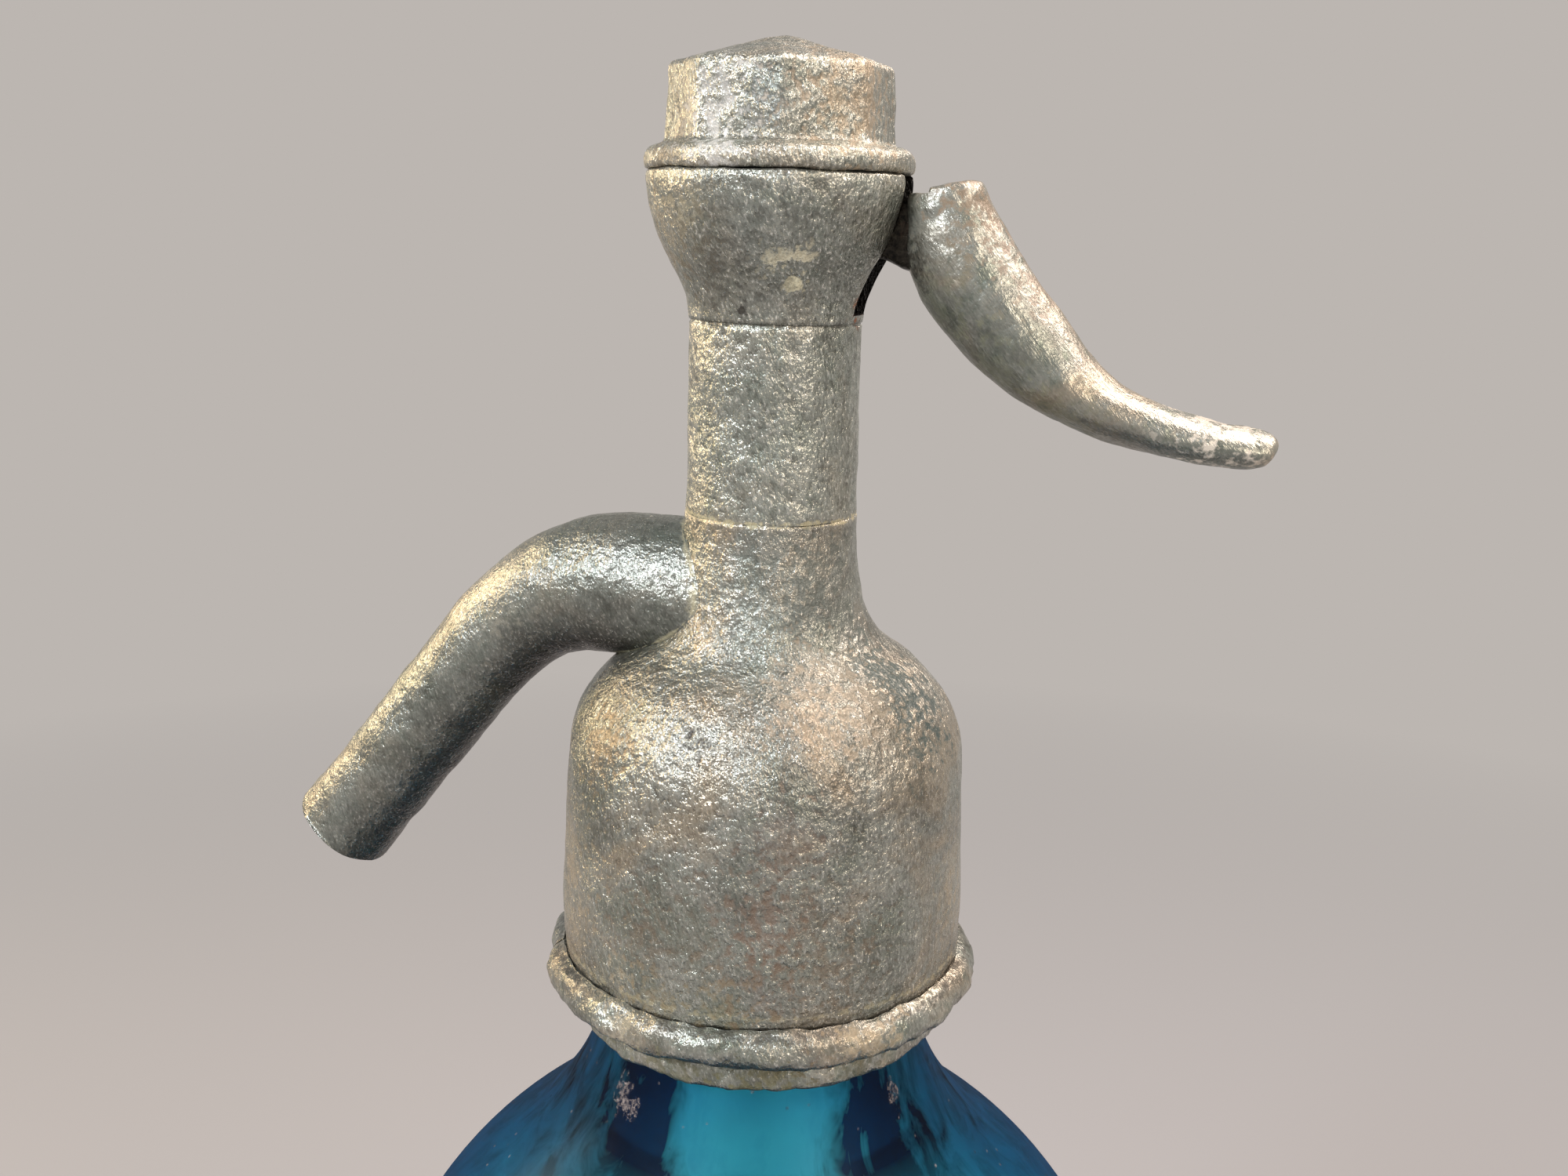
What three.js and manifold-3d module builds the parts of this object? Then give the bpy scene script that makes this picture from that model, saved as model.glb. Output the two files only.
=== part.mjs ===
// Soda siphon: a blue glass bottle with a cast pewter head, a bent spout and a horn-shaped thumb lever.
// Millimetres, +Z up. The origin is the centre of the bottle's flat base. The lever points along +X, the
// spout along -X. Pressing the lever turns it about the pivot pin and lifts the valve rod against the
// main spring.
import * as THREE from 'three';
import { mergeVertices } from 'three/addons/utils/BufferGeometryUtils.js';
import Module from 'manifold-3d';

const wasm = await Module();
wasm.setup();

// Gaps and cuts
const SEAT_GAP = 0.3;
const CUT_OVERRUN = 2;

// Number of flats on round shapes, and of steps along curves
const BOTTLE_SIDES = 36;
const HEAD_SIDES = 32;
const SMALL_SIDES = 16;
const PIN_SIDES = 12;
const FILLET_STEPS = 3;
const DOME_STEPS = 5;
const FLARE_STEPS = 4;
const OUTLINE_STEPS = 13;
const SPOUT_STEPS = 13;
const HORN_STEPS = 15;

// Glass bottle
const BOTTLE_RADIUS = 48.5;
const BOTTLE_STRAIGHT_HEIGHT = 147.4;
const BOTTLE_WALL = 4.5;
const BOTTLE_FLOOR = 9;
const BOTTLE_FOOT_FILLET = 7;
const DOME_RADIUS = 45;
const DOME_ANGLE = THREE.MathUtils.degToRad(52);
const NECK_RADIUS = 17.5;
const NECK_BORE_RADIUS = 9.5;
const NECK_STRAIGHT_HEIGHT = 8.2;
const NECK_BEAD_RADIUS = 19.3;
const NECK_BEAD_HEIGHT = 8.5;
const NECK_LIP_CHAMFER = 1.5;

// Split collar ring under the neck bead
const COLLAR_THREAD_HEIGHT = 7.2;
const COLLAR_THREAD_WALL = 2.6;
const COLLAR_BEAD_SECTION = 2.2;
const COLLAR_BEAD_OUTSIDE_BELL = 1.9;
const COLLAR_BAND_HEIGHT = 4.2;
const COLLAR_BAND_WALL = 1.8;
const COLLAR_NECK_CLEARANCE = 1.1;
const COLLAR_SPLIT_ANGLE = THREE.MathUtils.degToRad(23);

// Head base: bell, shoulder and lower column
const BELL_RADIUS = 23;
const BELL_TOP_RADIUS = 22.4;
const SHOULDER_HEIGHT = 28;
const COLUMN_RADIUS = 9.35;
const COLUMN_BORE_RADIUS = 5.5;
const CEILING_CHAMFER = 4.4;
const SHOULDER_START = 1.7;
const LOWER_COLUMN_HEIGHT = 2.2;
// Shoulder outline, from the bell to the column: shares of the radius step and of the shoulder's height
const SHOULDER_OUTLINE_SHARES = [
  [1, 0], [0.98, 0.13], [0.93, 0.23], [0.85, 0.31], [0.78, 0.365], [0.64, 0.44], [0.5, 0.49], [0.365, 0.53],
  [0.21, 0.595], [0.105, 0.69], [0.055, 0.79], [0.02, 0.9], [0, 1],
];

// Column joint and the bulb above it
const JOINT_SPIGOT_HEIGHT = 4;
const JOINT_SPIGOT_WALL = 1.8;
const UPPER_COLUMN_HEIGHT = 20.4;
const BULB_HEIGHT = 15;
const BULB_RADIUS = 13.9;
const BULB_BORE_RADIUS = 6.4;
const BULB_BORE_DEPTH = 12.2;
// Bulb outline, from the column to the rim: shares of the radius step and of the bulb's height
const BULB_OUTLINE_SHARES = [
  [0, 0], [0.06, 0.1], [0.17, 0.2], [0.28, 0.3], [0.42, 0.38], [0.56, 0.46], [0.71, 0.565], [0.83, 0.67],
  [0.91, 0.75], [0.97, 0.83], [1, 0.92], [1, 1],
];
const SLOT_WIDTH = 5.4;
const SLOT_DEPTH = 14.2;

// Screw cap
const CAP_FLANGE_RADIUS = 14;
const CAP_FLANGE_HEIGHT = 2.6;
const CAP_SIDES = 8;
const CAP_FOOT_RADIUS = 12.2;
const CAP_EDGE_RADIUS = 11.6;
const CAP_SIDE_HEIGHT = 7.6;
const CAP_PYRAMID_HEIGHT = 2.7;
const CAP_TURN = THREE.MathUtils.degToRad(14);
const CAP_SPIGOT_RADIUS = 10.3;
const CAP_SPIGOT_HEIGHT = 3.6;
const CAP_CROWN_THICKNESS = 4.6;
const CAP_BORE_RADIUS = 4.6;

// Spout
const SPOUT_RADIUS = 6.05;
const SPOUT_ROOT_RADIUS = 8.7;
const SPOUT_BORE_RADIUS = 4.2;
const SPOUT_REACH = 53.5;
const SPOUT_DROP = 32.9;
const SPOUT_SLOPE = THREE.MathUtils.degToRad(51.5);
const SPOUT_BEND_RADIUS = 18.5;
const SPOUT_BELOW_JOINT = 10.4;
const SPOUT_SPIGOT_WALL = 0.8;
const SPOUT_TAPER_SHARE = 0.42;

// Valve
const SEAT_BUSH_RADIUS = 5.9;
const SEAT_FLANGE_RADIUS = 8.5;
const SEAT_FLANGE_HEIGHT = 1.8;
const SEAT_BUSH_HEIGHT = 8.4;
const SEAT_LIP_HEIGHT = 0.5;
const SEAT_LIP_WIDTH = 0.9;
const SEAT_BORE_RADIUS = 2.8;
const RUBBER_RADIUS = 4.2;
const RUBBER_HEIGHT = 3.4;
const HOLDER_WALL = 0.4;
const HOLDER_RECESS = 1.9;
const HOLDER_WEB = 1.1;
const HOLDER_SOCKET = 2;

// Valve rod with its sliding seal
const ROD_RADIUS = 1.8;
const ROD_SHOULDER_RADIUS = 3;
const ROD_SHOULDER_ABOVE_JOINT = 11.5;
const ROD_HEAD_RADIUS = 3.8;
const ROD_HEAD_HEIGHT = 8.1;
const ROD_TIP_RADIUS = 2;
const ROD_TIP_HEIGHT = 1.5;
const MORTISE_BELOW = 2.2;
const MORTISE_ABOVE = 2;
const CUP_RADIUS = 5.2;
const CUP_THICKNESS = 1.1;
const CUP_LIP_THICKNESS = 0.9;
const CUP_DEPTH = 3.2;
const SPACER_RADIUS = 3.8;
const SPACER_HEIGHT = 4.3;
const NUT_RADIUS = 3.7;
const NUT_SIDES = 6;
const NUT_HEIGHT = 2.6;

// Main spring
const SPRING_MEAN_RADIUS = 3.1;
const SPRING_WIRE_RADIUS = 0.5;
const SPRING_CURLS = 5;
const SPRING_STEPS_PER_CURL = 8;
const SPRING_WIRE_SIDES = 5;

// Lever
const PIVOT_RADIUS = 1.25;
const PIVOT_OUT = 7.5;
const PIVOT_BELOW_CAP = 3.2;
const PIVOT_LENGTH = 11.2;
const ARM_THICKNESS = 4.6;
const ARM_BOSS_RADIUS = 2.7;
const ARM_NOSE_RADIUS = 1.7;
const ARM_NOSE_THICKNESS = 3;
const ARM_NECK_HEIGHT = 1.8;
const ARM_TAIL_HEIGHT = 3.4;
const ARM_TAIL_LENGTH = 11.5;
const HORN_LENGTH = 38.1;
const HORN_DROP = 25.7;
const HORN_TOP_BELOW_RIM = 0.8;
const HORN_FACE_OUT = 13.7;
const HORN_DEPTH = 5.6;
const HORN_WIDTH = 5.2;
// Centre line of the horn: shares of its length outwards and of its drop, from the root to the tip
const HORN_PATH_SHARES = [
  [0.098, 0], [0.108, 0.126], [0.135, 0.243], [0.207, 0.414], [0.312, 0.588], [0.447, 0.763], [0.611, 0.889],
  [0.786, 0.951], [0.924, 0.98], [0.992, 0.996],
];
// Half height and half width of the horn at the same places: shares of HORN_DEPTH and of HORN_WIDTH
const HORN_DEPTH_SHARES = [0.62, 0.83, 0.973, 1, 0.914, 0.693, 0.5, 0.418, 0.34, 0.16];
const HORN_WIDTH_SHARES = [0.7, 0.83, 0.94, 0.99, 1, 0.98, 0.92, 0.86, 0.75, 0.46];

// Tube in the bottle
const GASKET_HEIGHT = 1.7;
const SOCKET_FLANGE_RADIUS = 16.5;
const SOCKET_FLANGE_HEIGHT = 1.6;
const SOCKET_DEPTH = 15.3;
const TUBE_RADIUS = 4;
const TUBE_BORE_RADIUS = 2.4;
const TUBE_FOOT_CLEARANCE = 5;
const SLEEVE_WALL = 1.2;

// Heights that follow from the sizes above
const domeCentreRadius = BOTTLE_RADIUS - DOME_RADIUS;
const domeEndRadius = domeCentreRadius + DOME_RADIUS * Math.cos(DOME_ANGLE);
const domeEndZ = BOTTLE_STRAIGHT_HEIGHT + DOME_RADIUS * Math.sin(DOME_ANGLE);
const flareRadius = (domeEndRadius - NECK_RADIUS) / (1 - Math.cos(DOME_ANGLE));
const neckZ = domeEndZ + flareRadius * Math.sin(DOME_ANGLE);
const beadZ = neckZ + NECK_STRAIGHT_HEIGHT;
const lipZ = beadZ + NECK_BEAD_HEIGHT;
const collarTopZ = beadZ - SEAT_GAP;
const bellZ = collarTopZ - COLLAR_THREAD_HEIGHT;
const neckGasketZ = lipZ + SEAT_GAP;
const socketFlangeZ = neckGasketZ + GASKET_HEIGHT + SEAT_GAP;
const headGasketZ = socketFlangeZ + SOCKET_FLANGE_HEIGHT + SEAT_GAP;
const ceilingZ = headGasketZ + GASKET_HEIGHT + SEAT_GAP;
const shoulderZ = ceilingZ - SHOULDER_START;
const jointZ = shoulderZ + SHOULDER_HEIGHT + LOWER_COLUMN_HEIGHT;
const bulbZ = jointZ + UPPER_COLUMN_HEIGHT;
const rimZ = bulbZ + BULB_HEIGHT;
const capZ = rimZ + SEAT_GAP;
const capSpigotZ = capZ - CAP_SPIGOT_HEIGHT;
const capTopZ = capZ + CAP_FLANGE_HEIGHT + CAP_SIDE_HEIGHT;
const capCeilingZ = capTopZ - CAP_CROWN_THICKNESS + CAP_PYRAMID_HEIGHT;
const pivotZ = capSpigotZ - PIVOT_BELOW_CAP;
const seatFlangeZ = ceilingZ + SEAT_GAP;
const seatTopZ = seatFlangeZ + SEAT_BUSH_HEIGHT;
const rubberZ = seatTopZ + SEAT_LIP_HEIGHT + SEAT_GAP;
const holderZ = rubberZ + RUBBER_HEIGHT + SEAT_GAP - HOLDER_RECESS;
const rodZ = rubberZ + RUBBER_HEIGHT + SEAT_GAP + HOLDER_WEB + SEAT_GAP;
const holderRadius = RUBBER_RADIUS + SEAT_GAP + HOLDER_WALL;
const rodShoulderZ = jointZ + ROD_SHOULDER_ABOVE_JOINT;
const rodHeadZ = pivotZ - ROD_HEAD_HEIGHT / 2;
const rodTopZ = rodHeadZ + ROD_HEAD_HEIGHT;
const spoutZ = jointZ - SPOUT_BELOW_JOINT;
const pinClearRadius = PIVOT_RADIUS + SEAT_GAP;

// Corner of an outline that is turned about the Z axis
function at(radius, height) {
  return new THREE.Vector2(radius, height);
}

// Points on an arc about a centre, both ends included
function arcPoints(centreRadius, centreHeight, radius, startAngle, endAngle, steps) {
  const points = [];
  for (let i = 0; i <= steps; i += 1) {
    const angle = startAngle + (endAngle - startAngle) * i / steps;
    points.push(at(centreRadius + radius * Math.cos(angle), centreHeight + radius * Math.sin(angle)));
  }
  return points;
}

// Points on a smooth curve through shares of a radius step and a height
function outlinePoints(shares, innerRadius, outerRadius, bottom, height) {
  const step = outerRadius - innerRadius;
  const knots = shares.map(([across, up]) => at(innerRadius + step * across, bottom + height * up));
  return new THREE.SplineCurve(knots).getPoints(OUTLINE_STEPS);
}

// A closed body from any closed geometry
function toSolid(geometry) {
  const bare = geometry.clone();
  bare.deleteAttribute('normal');
  bare.deleteAttribute('uv');
  const merged = mergeVertices(bare);
  const corners = Array.from(merged.index.array);
  const triangles = [];
  for (let i = 0; i < corners.length; i += 3) {
    const [a, b, c] = corners.slice(i, i + 3);
    if (a !== b && b !== c && c !== a) {
      triangles.push(a, b, c);
    }
  }
  const vertProperties = new Float32Array(merged.attributes.position.array);
  const triVerts = new Uint32Array(triangles);
  return new wasm.Manifold(new wasm.Mesh({ numProp: 3, vertProperties, triVerts }));
}

// A body turned about the Z axis; the outline is closed, or starts and ends on the axis
function turned(points, sides = HEAD_SIDES) {
  const onAxis = points[0].x === 0 && points.at(-1).x === 0;
  const outline = onAxis ? points : [...points, points[0]];
  const leftTurn = THREE.ShapeUtils.area(points) > 0;
  const ordered = leftTurn ? outline : [...outline].reverse();
  const geometry = new THREE.LatheGeometry(ordered, sides);
  geometry.rotateX(Math.PI / 2);
  return toSolid(geometry);
}

// A plain ring or, without a bore, a plain disc
function ring(outerRadius, boreRadius, bottom, height, sides = HEAD_SIDES) {
  const top = bottom + height;
  const foot = [at(boreRadius, bottom), at(outerRadius, bottom)];
  const section = [...foot, at(outerRadius, top), at(boreRadius, top)];
  return turned(section, sides);
}

// A box given by its low and high corners
function block(low, high) {
  const geometry = new THREE.BoxGeometry(high[0] - low[0], high[1] - low[1], high[2] - low[2]);
  geometry.translate((high[0] + low[0]) / 2, (high[1] + low[1]) / 2, (high[2] + low[2]) / 2);
  return toSolid(geometry);
}

// A body skinned over rings of points, with flat ends
function skinned(rings) {
  const sides = rings[0].length;
  const positions = [];
  const triangles = [];
  for (const points of rings) {
    for (const point of points) {
      positions.push(point.x, point.y, point.z);
    }
  }
  for (let i = 0; i < rings.length - 1; i += 1) {
    for (let j = 0; j < sides; j += 1) {
      const next = (j + 1) % sides;
      const a = i * sides + j;
      const b = i * sides + next;
      triangles.push(a, b, b + sides, a, b + sides, a + sides);
    }
  }
  const last = (rings.length - 1) * sides;
  for (let j = 1; j < sides - 1; j += 1) {
    triangles.push(0, j + 1, j, last, last + j, last + j + 1);
  }
  const geometry = new THREE.BufferGeometry();
  geometry.setAttribute('position', new THREE.Float32BufferAttribute(positions, 3));
  geometry.setIndex(triangles);
  return toSolid(geometry);
}

// A body of oval section along a curve in the XZ plane; the sizes are functions of the way along it
function swept(curve, halfDepthAt, halfWidthAt, steps, sides) {
  const rings = [];
  for (let i = 0; i <= steps; i += 1) {
    const way = i / steps;
    const centre = curve.getPointAt(way);
    const tangent = curve.getTangentAt(way);
    const points = [];
    for (let j = 0; j < sides; j += 1) {
      const angle = 2 * Math.PI * j / sides;
      const depth = halfDepthAt(way) * Math.cos(angle);
      const across = halfWidthAt(way) * Math.sin(angle);
      points.push(new THREE.Vector3(centre.x + tangent.y * depth, across, centre.y - tangent.x * depth));
    }
    rings.push(points);
  }
  return skinned(rings);
}

// A round bar along the Y axis
function crossBar(radius, length, x, z) {
  const geometry = new THREE.CylinderGeometry(radius, radius, length, PIN_SIDES);
  geometry.translate(x, 0, z);
  return toSolid(geometry);
}

// A round bar along the X axis
function lengthBar(radius, fromX, toX, z, sides = SMALL_SIDES) {
  const geometry = new THREE.CylinderGeometry(radius, radius, toX - fromX, sides);
  geometry.rotateZ(Math.PI / 2);
  geometry.translate((fromX + toX) / 2, 0, z);
  return toSolid(geometry);
}

const siphon = new THREE.Group();

// Adds a body to the siphon as a named piece in its own material
function addPiece(name, solid, look) {
  const mesh = solid.getMesh();
  const geometry = new THREE.BufferGeometry();
  geometry.setAttribute('position', new THREE.BufferAttribute(mesh.vertProperties, 3));
  geometry.setIndex(new THREE.BufferAttribute(mesh.triVerts, 1));
  geometry.computeVertexNormals();
  const piece = new THREE.Mesh(geometry, new THREE.MeshStandardMaterial(look));
  piece.name = name;
  siphon.add(piece);
}

const BLUE_GLASS = { color: 0x0c5f8c, roughness: 0.05, metalness: 0, transparent: true, opacity: 0.6 };
const CLEAR_GLASS = { color: 0xd5e4e6, roughness: 0.05, metalness: 0, transparent: true, opacity: 0.5 };
const PEWTER = { color: 0x6f6b64, roughness: 0.5, metalness: 0.9 };
const WORN_PEWTER = { color: 0x7d766b, roughness: 0.42, metalness: 0.9 };
const BRASS = { color: 0xa8874a, roughness: 0.4, metalness: 1 };
const STEEL = { color: 0x7b7d80, roughness: 0.35, metalness: 1 };
const RUBBER = { color: 0x2b2422, roughness: 0.85, metalness: 0 };
const LEATHER = { color: 0x6b4a2e, roughness: 0.8, metalness: 0 };

// Glass bottle: straight wall, dome, flared shoulder and a beaded neck
function glassBottle() {
  const innerRadius = BOTTLE_RADIUS - BOTTLE_WALL;
  const innerFillet = BOTTLE_FOOT_FILLET - BOTTLE_WALL;
  const innerDome = DOME_RADIUS - BOTTLE_WALL;
  const innerDomeEnd = at(
    domeCentreRadius + innerDome * Math.cos(DOME_ANGLE),
    BOTTLE_STRAIGHT_HEIGHT + innerDome * Math.sin(DOME_ANGLE),
  );
  const toBore = innerDomeEnd.x - NECK_BORE_RADIUS;
  const boreBend = at(NECK_BORE_RADIUS, innerDomeEnd.y + toBore / Math.tan(DOME_ANGLE));
  const boreStart = at(NECK_BORE_RADIUS, (boreBend.y + neckZ) / 2);
  const innerShoulder = new THREE.QuadraticBezierCurve(boreStart, boreBend, innerDomeEnd);
  const flareStart = Math.PI + DOME_ANGLE;
  const flareCentreRadius = NECK_RADIUS + flareRadius;
  return turned([
    at(0, 0),
    ...arcPoints(BOTTLE_RADIUS - BOTTLE_FOOT_FILLET, BOTTLE_FOOT_FILLET, BOTTLE_FOOT_FILLET,
      -Math.PI / 2, 0, FILLET_STEPS),
    ...arcPoints(domeCentreRadius, BOTTLE_STRAIGHT_HEIGHT, DOME_RADIUS, 0, DOME_ANGLE, DOME_STEPS),
    ...arcPoints(flareCentreRadius, neckZ, flareRadius, flareStart, Math.PI, FLARE_STEPS).slice(1),
    at(NECK_RADIUS, beadZ),
    at(NECK_BEAD_RADIUS, beadZ),
    at(NECK_BEAD_RADIUS, lipZ - NECK_LIP_CHAMFER),
    at(NECK_BEAD_RADIUS - NECK_LIP_CHAMFER, lipZ),
    at(NECK_BORE_RADIUS, lipZ),
    ...innerShoulder.getPoints(FLARE_STEPS),
    ...arcPoints(domeCentreRadius, BOTTLE_STRAIGHT_HEIGHT, innerDome, DOME_ANGLE, 0, DOME_STEPS).slice(1),
    ...arcPoints(innerRadius - innerFillet, BOTTLE_FLOOR + innerFillet, innerFillet,
      0, -Math.PI / 2, FILLET_STEPS),
    at(0, BOTTLE_FLOOR),
  ], BOTTLE_SIDES);
}
addPiece('glass_bottle', glassBottle(), BLUE_GLASS);

// Split collar: a threaded ring with a round bead and a lower band, in two halves
const collarThreadInner = NECK_RADIUS + SEAT_GAP;
const collarThreadOuter = collarThreadInner + COLLAR_THREAD_WALL;
const bellBoreRadius = collarThreadOuter + SEAT_GAP;
const collarBeadZ = bellZ - SEAT_GAP - COLLAR_BEAD_SECTION;
const collarBeadCentre = BELL_RADIUS + COLLAR_BEAD_OUTSIDE_BELL - COLLAR_BEAD_SECTION;
function collarRing() {
  const bandBottom = collarBeadZ - COLLAR_BEAD_SECTION / 2 - COLLAR_BAND_HEIGHT;
  const bandInner = NECK_RADIUS + COLLAR_NECK_CLEARANCE;
  const bandOuter = bandInner + COLLAR_BAND_WALL;
  return turned([
    at(collarThreadInner, collarBeadZ),
    at(collarThreadInner, collarTopZ),
    at(collarThreadOuter, collarTopZ),
    at(collarThreadOuter, collarBeadZ + COLLAR_BEAD_SECTION),
    ...arcPoints(collarBeadCentre, collarBeadZ, COLLAR_BEAD_SECTION,
      Math.PI / 2, -Math.PI / 2, FILLET_STEPS * 2),
    at(bandOuter, collarBeadZ - COLLAR_BEAD_SECTION),
    at(bandOuter, bandBottom),
    at(bandInner, bandBottom),
    at(bandInner, collarBeadZ - COLLAR_BEAD_SECTION),
  ]);
}
function collarHalf(side) {
  const reach = BOTTLE_RADIUS;
  const otherSide = side > 0
    ? block([-reach, -reach, 0], [reach, SEAT_GAP / 2, lipZ])
    : block([-reach, -SEAT_GAP / 2, 0], [reach, reach, lipZ]);
  return collarRing().subtract(otherSide.rotate([0, 0, THREE.MathUtils.radToDeg(COLLAR_SPLIT_ANGLE)]));
}
addPiece('collar_half_front', collarHalf(-1), WORN_PEWTER);
addPiece('collar_half_back', collarHalf(1), WORN_PEWTER);

// Rubber rings and the flanged socket that hangs the dip tube in the neck
const socketOuterRadius = NECK_BORE_RADIUS - SEAT_GAP * 2;
const sleeveOuterRadius = TUBE_RADIUS + SEAT_GAP + SLEEVE_WALL;
const socketFootZ = socketFlangeZ - SOCKET_DEPTH;
const socketLedgeZ = socketFlangeZ - SOCKET_FLANGE_HEIGHT;
const tubeTopZ = socketLedgeZ - SEAT_GAP;
addPiece('neck_gasket', ring(SOCKET_FLANGE_RADIUS, NECK_BORE_RADIUS, neckGasketZ, GASKET_HEIGHT), RUBBER);
const headGasketBore = TUBE_BORE_RADIUS + SEAT_GAP;
addPiece('head_gasket', ring(SOCKET_FLANGE_RADIUS, headGasketBore, headGasketZ, GASKET_HEIGHT), RUBBER);
addPiece('tube_socket', turned([
  at(sleeveOuterRadius + SEAT_GAP, socketFootZ),
  at(socketOuterRadius, socketFootZ),
  at(socketOuterRadius, socketFlangeZ),
  at(SOCKET_FLANGE_RADIUS, socketFlangeZ),
  at(SOCKET_FLANGE_RADIUS, socketFlangeZ + SOCKET_FLANGE_HEIGHT),
  at(TUBE_BORE_RADIUS, socketFlangeZ + SOCKET_FLANGE_HEIGHT),
  at(TUBE_BORE_RADIUS, socketLedgeZ),
  at(sleeveOuterRadius + SEAT_GAP, socketLedgeZ),
]), WORN_PEWTER);
addPiece('tube_sleeve', ring(sleeveOuterRadius, TUBE_RADIUS + SEAT_GAP, socketFootZ, tubeTopZ - socketFootZ,
  SMALL_SIDES), RUBBER);
const tubeFootZ = BOTTLE_FLOOR + TUBE_FOOT_CLEARANCE;
const tubeLength = tubeTopZ - tubeFootZ;
addPiece('dip_tube', ring(TUBE_RADIUS, TUBE_BORE_RADIUS, tubeFootZ, tubeLength, SMALL_SIDES), CLEAR_GLASS);

// Head base: bell, shoulder and lower column, bored for the valve and for the column joint
const spigotRadius = COLUMN_BORE_RADIUS + JOINT_SPIGOT_WALL;
const spigotFootZ = jointZ - JOINT_SPIGOT_HEIGHT;
const spoutSpigotRadius = SPOUT_BORE_RADIUS + SPOUT_SPIGOT_WALL;
function headSide(growth) {
  const shoulder = outlinePoints(
    SHOULDER_OUTLINE_SHARES, COLUMN_RADIUS, BELL_TOP_RADIUS, shoulderZ, SHOULDER_HEIGHT,
  );
  return [
    at(BELL_RADIUS + growth, bellZ),
    ...shoulder.map((point) => at(point.x + growth, point.y)),
    at(COLUMN_RADIUS + growth, jointZ - SEAT_GAP),
  ];
}
function headBase() {
  const ceilingRadius = bellBoreRadius - CEILING_CHAMFER + SEAT_GAP;
  const bushRadius = SEAT_BUSH_RADIUS + SEAT_GAP;
  const flangeRadius = SEAT_FLANGE_RADIUS + SEAT_GAP;
  const flangeTopZ = seatFlangeZ + SEAT_FLANGE_HEIGHT + SEAT_GAP;
  const body = turned([
    ...headSide(0),
    at(spigotRadius + SEAT_GAP, jointZ - SEAT_GAP),
    at(spigotRadius + SEAT_GAP, spigotFootZ - SEAT_GAP),
    at(COLUMN_BORE_RADIUS, spigotFootZ - SEAT_GAP),
    at(COLUMN_BORE_RADIUS, seatTopZ),
    at(bushRadius, seatTopZ),
    at(bushRadius, flangeTopZ),
    at(flangeRadius, flangeTopZ),
    at(flangeRadius, ceilingZ),
    at(ceilingRadius, ceilingZ),
    at(bellBoreRadius, ceilingZ - CEILING_CHAMFER),
    at(bellBoreRadius, bellZ),
  ]);
  return body.subtract(lengthBar(spoutSpigotRadius + SEAT_GAP, -BELL_RADIUS, 0, spoutZ));
}
addPiece('head_base', headBase(), PEWTER);

// Spout: a thick root, a bend and a straight leg with a square-cut mouth
function spoutPath(rootX, mouthOverrun) {
  const mouth = at(-SPOUT_REACH, spoutZ - SPOUT_DROP);
  const legRun = SPOUT_DROP / Math.tan(SPOUT_SLOPE);
  const corner = at(-SPOUT_REACH + legRun, spoutZ);
  const tangentLength = SPOUT_BEND_RADIUS * Math.tan(SPOUT_SLOPE / 2);
  const downX = -Math.cos(SPOUT_SLOPE);
  const downZ = -Math.sin(SPOUT_SLOPE);
  const bendStart = at(corner.x + tangentLength, corner.y);
  const bendEnd = at(corner.x + downX * tangentLength, corner.y + downZ * tangentLength);
  const bend = arcPoints(bendStart.x, bendStart.y - SPOUT_BEND_RADIUS, SPOUT_BEND_RADIUS,
    Math.PI / 2, Math.PI / 2 + SPOUT_SLOPE, FLARE_STEPS);
  const end = at(mouth.x + downX * mouthOverrun, mouth.y + downZ * mouthOverrun);
  const path = new THREE.CurvePath();
  path.add(new THREE.LineCurve(at(rootX, spoutZ), bendStart));
  path.add(new THREE.SplineCurve(bend));
  path.add(new THREE.LineCurve(bendEnd, end));
  return path;
}
function spout() {
  const radiusAt = (way) => {
    const taper = Math.min(way / SPOUT_TAPER_SHARE, 1);
    return THREE.MathUtils.lerp(SPOUT_ROOT_RADIUS, SPOUT_RADIUS, taper);
  };
  const boreAt = () => SPOUT_BORE_RADIUS;
  const outside = swept(spoutPath(-COLUMN_BORE_RADIUS, 0), radiusAt, radiusAt, SPOUT_STEPS, SMALL_SIDES);
  const bore = swept(spoutPath(0, CUT_OVERRUN), boreAt, boreAt, SPOUT_STEPS, SMALL_SIDES);
  const grownSide = headSide(SEAT_GAP);
  const headShape = turned([at(0, bellZ), ...grownSide, at(0, grownSide.at(-1).y)]);
  const root = lengthBar(spoutSpigotRadius, -COLUMN_RADIUS - CUT_OVERRUN, 0, spoutZ);
  const chamber = ring(COLUMN_BORE_RADIUS + SEAT_GAP, 0, bellZ, jointZ - bellZ);
  return outside.subtract(headShape).add(root).subtract(chamber).subtract(bore);
}
addPiece('spout', spout(), PEWTER);

// Valve seat: a flanged bush with a raised lip
const lipOuterRadius = SEAT_BORE_RADIUS + SEAT_LIP_WIDTH;
addPiece('valve_seat', turned([
  at(SEAT_BORE_RADIUS, seatFlangeZ),
  at(SEAT_FLANGE_RADIUS, seatFlangeZ),
  at(SEAT_FLANGE_RADIUS, seatFlangeZ + SEAT_FLANGE_HEIGHT),
  at(SEAT_BUSH_RADIUS, seatFlangeZ + SEAT_FLANGE_HEIGHT),
  at(SEAT_BUSH_RADIUS, seatTopZ - SEAT_GAP),
  at(lipOuterRadius, seatTopZ - SEAT_GAP),
  at(lipOuterRadius, seatTopZ + SEAT_LIP_HEIGHT),
  at(SEAT_BORE_RADIUS, seatTopZ + SEAT_LIP_HEIGHT),
], SMALL_SIDES), BRASS);

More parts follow.
